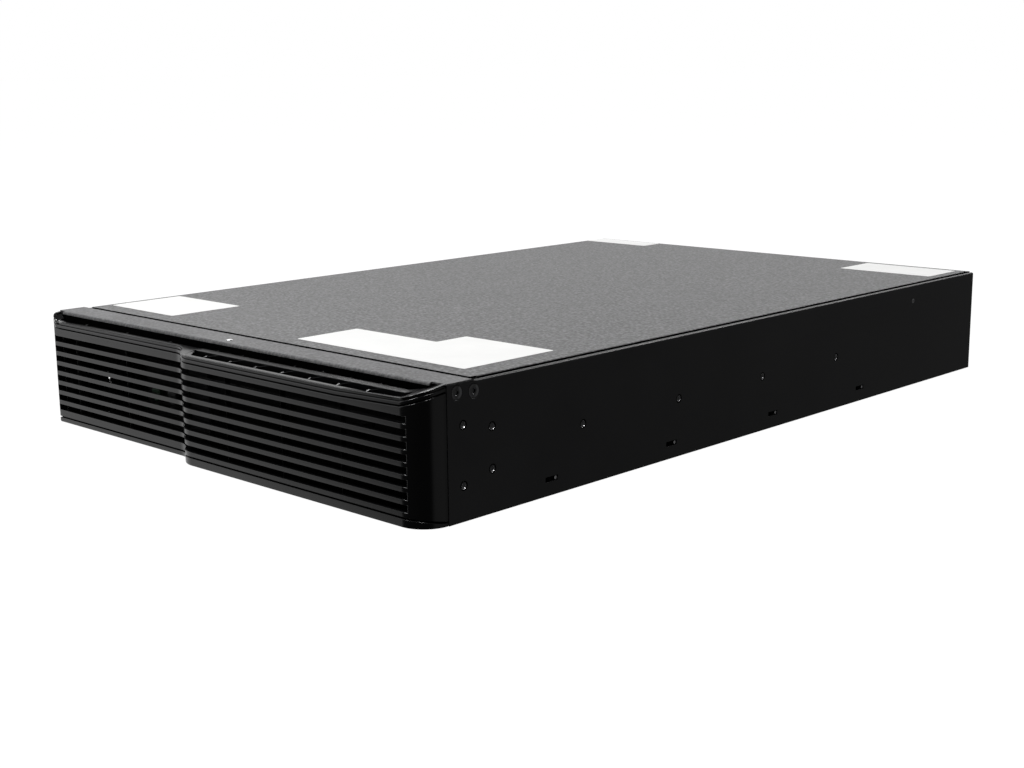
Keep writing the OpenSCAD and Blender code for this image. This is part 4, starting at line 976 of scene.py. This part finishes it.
def make_inserts():
    bm = bmesh.new()
    for s in (1, -1):
        for y, z in EARS + RAILS:
            sub = bmesh.new()
            prof = [(2.55, 0.04), (3.12, 0.04), (3.12, 1.3), (3.98, 1.3), (3.98, 4.0), (3.8, 4.17), (2.1, 4.17)]
            for i in range(7):
                prof += [(2.1, 4.0 - 0.44 * i), (1.9, 3.78 - 0.44 * i)]
            prof += [(1.95, 0.85), (2.1, 0.7), (2.55, 0.1)]
            rings = lathe(sub, prof, P(s * 219, y, z), (-s, 0, 0), 28)
            for i in range(28):
                j = (i + 1) % 28
                sub.faces.new((rings[-1][i], rings[0][i], rings[0][j], rings[-1][j]))
            recalc(sub)
            merge(bm, sub)
    o = finish_mesh(bm, "wall_inserts", "insert_zinc", 40)
    place(o, "case", ["side_inserts"])


make_inserts()


def make_strip_screws():
    bm = bmesh.new()
    for s in (1, -1):
        for y, z in ((8.9, 81.4), (23.3, 80.4)):
            sub = bmesh.new()
            prof = [(0, 7.1), (2.38, 7.1), (2.38, 1.05), (2.95, 1.02), (4.25, 0.22), (4.3, 0.1), (4.1, 0.06), (3.3, 0.42), (2.6, 0.5),
                    (1.85, 0.46), (1.62, 0.66), (1.55, 1.3), (0, 1.3)]
            lathe(sub, prof, P(s * 219, y, z), (-s, 0, 0), 36)
            recalc(sub)
            merge(bm, sub)
    o = finish_mesh(bm, "countersunk_screws", "dark_screw", 30)
    place(o, "case", ["strip_screws"])


make_strip_screws()


def make_tabs():
    bm = bmesh.new()
    for s in (1, -1):
        for y in TABS:
            a, b = sorted((s * 216.4, s * 217.72))
            add_box(bm, a, b, y - 1.9, y + 9.9, 6.6, 15.4, 0.25)
            sub = bmesh.new()
            lathe(sub, [(0, 1.1), (0.9, 1.1), (1.2, 0.95), (1.3, 0.6), (1.3, -0.25), (0, -0.25)], P(s * 217.6, y + 4.3, 11), (s, 0, 0), 20)
            recalc(sub)
            merge(bm, sub)
    o = finish_mesh(bm, "hook_tabs", "tab_zinc", 40)
    place(o, "case", ["slot_tabs"])


make_tabs()


# ------------------------------------------------------------------ fans
FAN_X, FAN_Z, FAN_Y = (-170, -87), 44, 632.8


def make_rotor(name, x, body):
    bm = bmesh.new()
    o = P(x, FAN_Y, FAN_Z)
    # hub, as a cup with a soft rim
    lathe(bm, [(0, 22.0), (14.2, 22.0), (16.6, 21.6), (17.7, 20.6), (18.0, 19.2), (18.0, 5.0), (16.6, 5.0), (16.6, 20.2), (2.0, 20.2), (2.0, 0.9), (0, 0.9)],
          o, (0, 1, 0), 48)
    for i in range(7):
        a0 = 2 * math.pi * i / 7
        sub = bmesh.new()
        nr, nc = 8, 8
        top, bot = [], []
        for r_i in range(nr + 1):
            f = r_i / nr
            r = 17.2 + (35.7 - 17.2) * f
            pitch = math.radians(46 - 16 * f)
            chord = 19.0 + 3.0 * f
            sweep = 0.20 * f * f
            ta, ba = [], []
            for c_i in range(nc + 1):
                g = c_i / nc
                s = (g - 0.5) * chord
                camber = 1.7 * (1 - (2 * g - 1) ** 2)
                thick = 0.75 * (1 - 0.55 * (2 * g - 1) ** 2)
                ang = a0 + sweep + s * math.cos(pitch) / r
                y = 14.0 + s * math.sin(pitch) * 0.82 + camber * math.cos(pitch)
                y = min(max(y, 6.2), 21.3)
                for lst, d in ((ta, thick), (ba, -thick)):
                    lst.append(o + Vector((r * math.cos(ang) * MM, (y + d) * MM, r * math.sin(ang) * MM)))
            top.append(ta)
            bot.append(ba)
        thick_grid(sub, top, bot, lambda k, j: True)
        recalc(sub)
        merge(bm, sub)
    ob = finish_mesh(bm, name, "fan_plastic", 50)
    place(ob, body, [{"fan_left": "fan_rotor_left", "fan_right": "fan_rotor_right"}[body]])


make_rotor("rotor_left", FAN_X[0], "fan_left")
make_rotor("rotor_right", FAN_X[1], "fan_right")


def make_guards():
    bm = bmesh.new()
    for x in FAN_X:
        c = P(x, 661.25, FAN_Z)
        for r in (8, 15, 22, 29, 36):
            tube(bm, circle_points(c, (0, 1, 0), r * MM, 64), 0.8 * MM, 10, close=True)
        for a in (45, 135):
            d = Vector((math.cos(math.radians(a)), 0, math.sin(math.radians(a))))
            back = Vector((0, 0.0010, 0))
            for s in (-1, 1):
                pts = [c + back + d * (s * 6.5 * MM), c + back + d * (s * 36 * MM), c + d * (s * 41 * MM) + Vector((0, 0.0002, 0)), c + d * (s * 46.4 * MM) + Vector((0, 0.0002, 0))]
                tube(bm, round_path(pts, 0.004, 4), 0.85 * MM, 10)
                # eye round the screw
                eye = c + d * (s * 50.91 * MM)
                tube(bm, [p + Vector((0, 0.0002, 0)) for p in circle_points(eye, (0, 1, 0), 4.1 * MM, 28)], 0.8 * MM, 8, close=True)
                # screw with a round recess in its head
                sub = bmesh.new()
                lathe(sub, [(0, 1.15), (0.9, 1.15), (1.0, 2.25), (2.2, 2.35), (3.2, 1.9), (3.6, 1.1), (3.6, 0.3), (2.1, 0.3), (2.1, -8.0), (0, -8.0)],
                      eye, (0, 1, 0), 24)
                recalc(sub)
                merge(bm, sub)
    recalc(bm)
    ob = finish_mesh(bm, "guard_rings", "guard_wire", 50)
    place(ob, "case", ["fan_guards"])


make_guards()


# ------------------------------------------------------------------ pull handle and leads
def make_handle():
    bm = bmesh.new()
    pts = [P(62, -4.6, 50), P(70, -4.6, 50), P(70, -4.6, 23), P(140, -4.6, 23), P(140, -4.6, 50), P(148, -4.6, 50)]
    tube(bm, round_path(pts, 0.0042, 8), 2.0 * MM, 20)
    recalc(bm)
    o = finish_mesh(bm, "handle_bar", "zinc_steel", 60)
    place(o, "handle", ["tray_handle"])


make_handle()


def lead(bm, pts, r, bend=9.0):
    tube(bm, round_path([P(*p) for p in pts], bend * MM, 7), r * MM, 14)


def make_leads():
    bm = bmesh.new()
    bat_y = lambda r: 6 + r * 153
    for c in (0, 1):
        for r in (0, 1):
            x = 3.2 + 95 + 2.7 if c == 0 else 205 - 2.2 - 95 - 2.7
            lead(bm, [(x, bat_y(r) + 137, 57.1), (x, bat_y(r) + 143, 62), (x, bat_y(r + 1) + 8, 62), (x, bat_y(r + 1) + 14, 57.1)], 2.0, 5)
        x = 3.2 + 95 + 2.3 if c == 0 else 205 - 2.2 - 95 - 2.3
        lead(bm, [(x, bat_y(2) + 137, 51.6), (x, bat_y(2) + 142, 46), (x, 455, 46), (x, 461, 41)], 2.0, 5)
    recalc(bm)
    place(finish_mesh(bm, "battery_jumpers", "red_lead", 60), "tray", ["jumper_leads"])
    bm = bmesh.new()
    lead(bm, [(98, 508.1, 36), (98, 520, 36), (80, 530, 24), (-20, 530, 24), (-40, 518, 20), (-40, 470, 20), (-40, 464, 12.6)], 2.5)
    lead(bm, [(108, 508.1, 40), (108, 520, 40), (84, 529, 38), (-22, 529, 38), (-56, 520, 30), (-56, 470, 24), (-56, 464, 12.6)], 2.5)
    recalc(bm)
    place(finish_mesh(bm, "supply_leads", "red_lead", 60), "case", ["battery_leads"])
    bm = bmesh.new()
    for i in range(3):
        lead(bm, [(-17 + i * 7, 633.7, 62), (-17 + i * 7, 606 + i * 5, 62), (132 + i * 6, 606 + i * 5, 40), (132 + i * 6, 606 + i * 5, 10.2)], 1.6)
    recalc(bm)
    place(finish_mesh(bm, "mains_leads", "blue_lead", 60), "case", ["inlet_leads"])


make_leads()


# ------------------------------------------------------------------ wound parts
def wound_ring(bm, cx, cy, cz, big, small, turns, seg=10):
    """A ring core covered by a coil of wire, with the turns standing out of it."""
    n = turns * 4
    c = P(cx, cy, cz)
    rings = []
    for i in range(n):
        a = 2 * math.pi * i / n
        swell = (1.0, 0.955, 0.90, 0.955)[i % 4]
        rr = small * swell
        rings.append([bm.verts.new(c + Vector(((big + rr * math.cos(2 * math.pi * k / seg)) * math.cos(a),
                                               (big + rr * math.cos(2 * math.pi * k / seg)) * math.sin(a),
                                               rr * math.sin(2 * math.pi * k / seg))) * MM) for k in range(seg)])
    for i in range(n):
        a, b = rings[i], rings[(i + 1) % n]
        for k in range(seg):
            bm.faces.new((a[k], b[k], b[(k + 1) % seg], a[(k + 1) % seg]))


def make_coils():
    bm = bmesh.new()
    for x in (-178, -118, -58):
        wound_ring(bm, x, 130, 20, 17, 9.5, 44, 14)
    recalc(bm)
    place(finish_mesh(bm, "wound_chokes", "copper_winding", 60), "case", ["choke_coils"])
    bm = bmesh.new()
    for x in (150, 190):
        wound_ring(bm, x, 588, 19, 11, 6.4, 34, 12)
    for x in (140, 165, 190):
        add_box(bm, x, x + 20, 557, 569, 9.7, 26, 0.8)
    recalc(bm)
    place(finish_mesh(bm, "wound_filters", "copper_winding", 60), "case", ["filter_chokes"])


make_coils()


# ------------------------------------------------------------------ the other CAD nodes: soft edges and their materials
def polish(node, width, segs=2, angle=32.0, planar=1.0):
    """Rounds the edges of a CAD node by modifiers and gives it its slot's material."""
    o = NODES[node]
    me = o.data
    if "custom_normal" in me.attributes:
        me.attributes.remove(me.attributes["custom_normal"])
    me.polygons.foreach_set("use_smooth", [True] * len(me.polygons))
    w = o.modifiers.new("weld", "WELD")
    w.merge_threshold = 1e-6
    if planar:
        d = o.modifiers.new("flat", "DECIMATE")
        d.decimate_type = "DISSOLVE"
        d.angle_limit = math.radians(planar)
    b = o.modifiers.new("soft", "BEVEL")
    b.width = width * MM
    b.segments = segs
    b.limit_method = "ANGLE"
    b.angle_limit = math.radians(angle)
    b.use_clamp_overlap = True
    b.harden_normals = True
    me.materials.clear()
    me.materials.append(MATS[LOOKS.get(node, SLOT_OF[node])])


# handle_brackets take inner_black so that the painted shade of its front zone covers them; strip_rivet takes a zinc
# without that zone
LOOKS = {"strip_rivet": "rivet_zinc", "handle_brackets": "inner_black"}
WIDTHS = {"chassis_tray": 0.2, "battery_blocks": 1.6, "battery_tray": 0.3, "control_panel": 0.5, "power_button": 0.35,
          "select_button": 0.35, "status_lights": 0.25, "front_plate": 0.2, "rear_panel": 0.25, "power_inlet": 0.4,
          "outlet_block": 0.35, "large_outlet": 0.35, "battery_port": 0.5, "card_cover": 0.25, "fan_frames": 0.8,
          "side_inserts": 0.3, "strip_screws": 0.22, "strip_rivet": 0.2, "cover_screws": 0.2, "slot_tabs": 0.2,
          "tray_thumbscrews": 0.3, "handle_brackets": 0.4, "tray_plug": 0.5, "bay_socket": 0.5, "heat_sinks": 0.2,
          "power_transistors": 0.3, "relays": 0.5, "transformer_core": 0.3, "transformer_coil": 2.2, "bus_capacitors": 0.4,
          "breaker_bushings": 0.35, "breaker_button_left": 0.25, "breaker_button_right": 0.25, "rear_screws": 0.15,
          "data_ports": 0.2, "inlet_pins": 0.4, "bezel_studs": 0.2, "control_board": 0.2, "control_cable": 0.15,
          "battery_straps": 0.2, "battery_terminals": 0.15, "slide_strips": 0.2, "divider_wall": 0.2, "bay_rear_wall": 0.2,
          "main_board": 0.15, "board_standoffs": 0.15, "filter_board": 0.15}
for node, obj in NODES.items():
    if not obj.hide_render:
        polish(node, WIDTHS.get(node, 0.2))
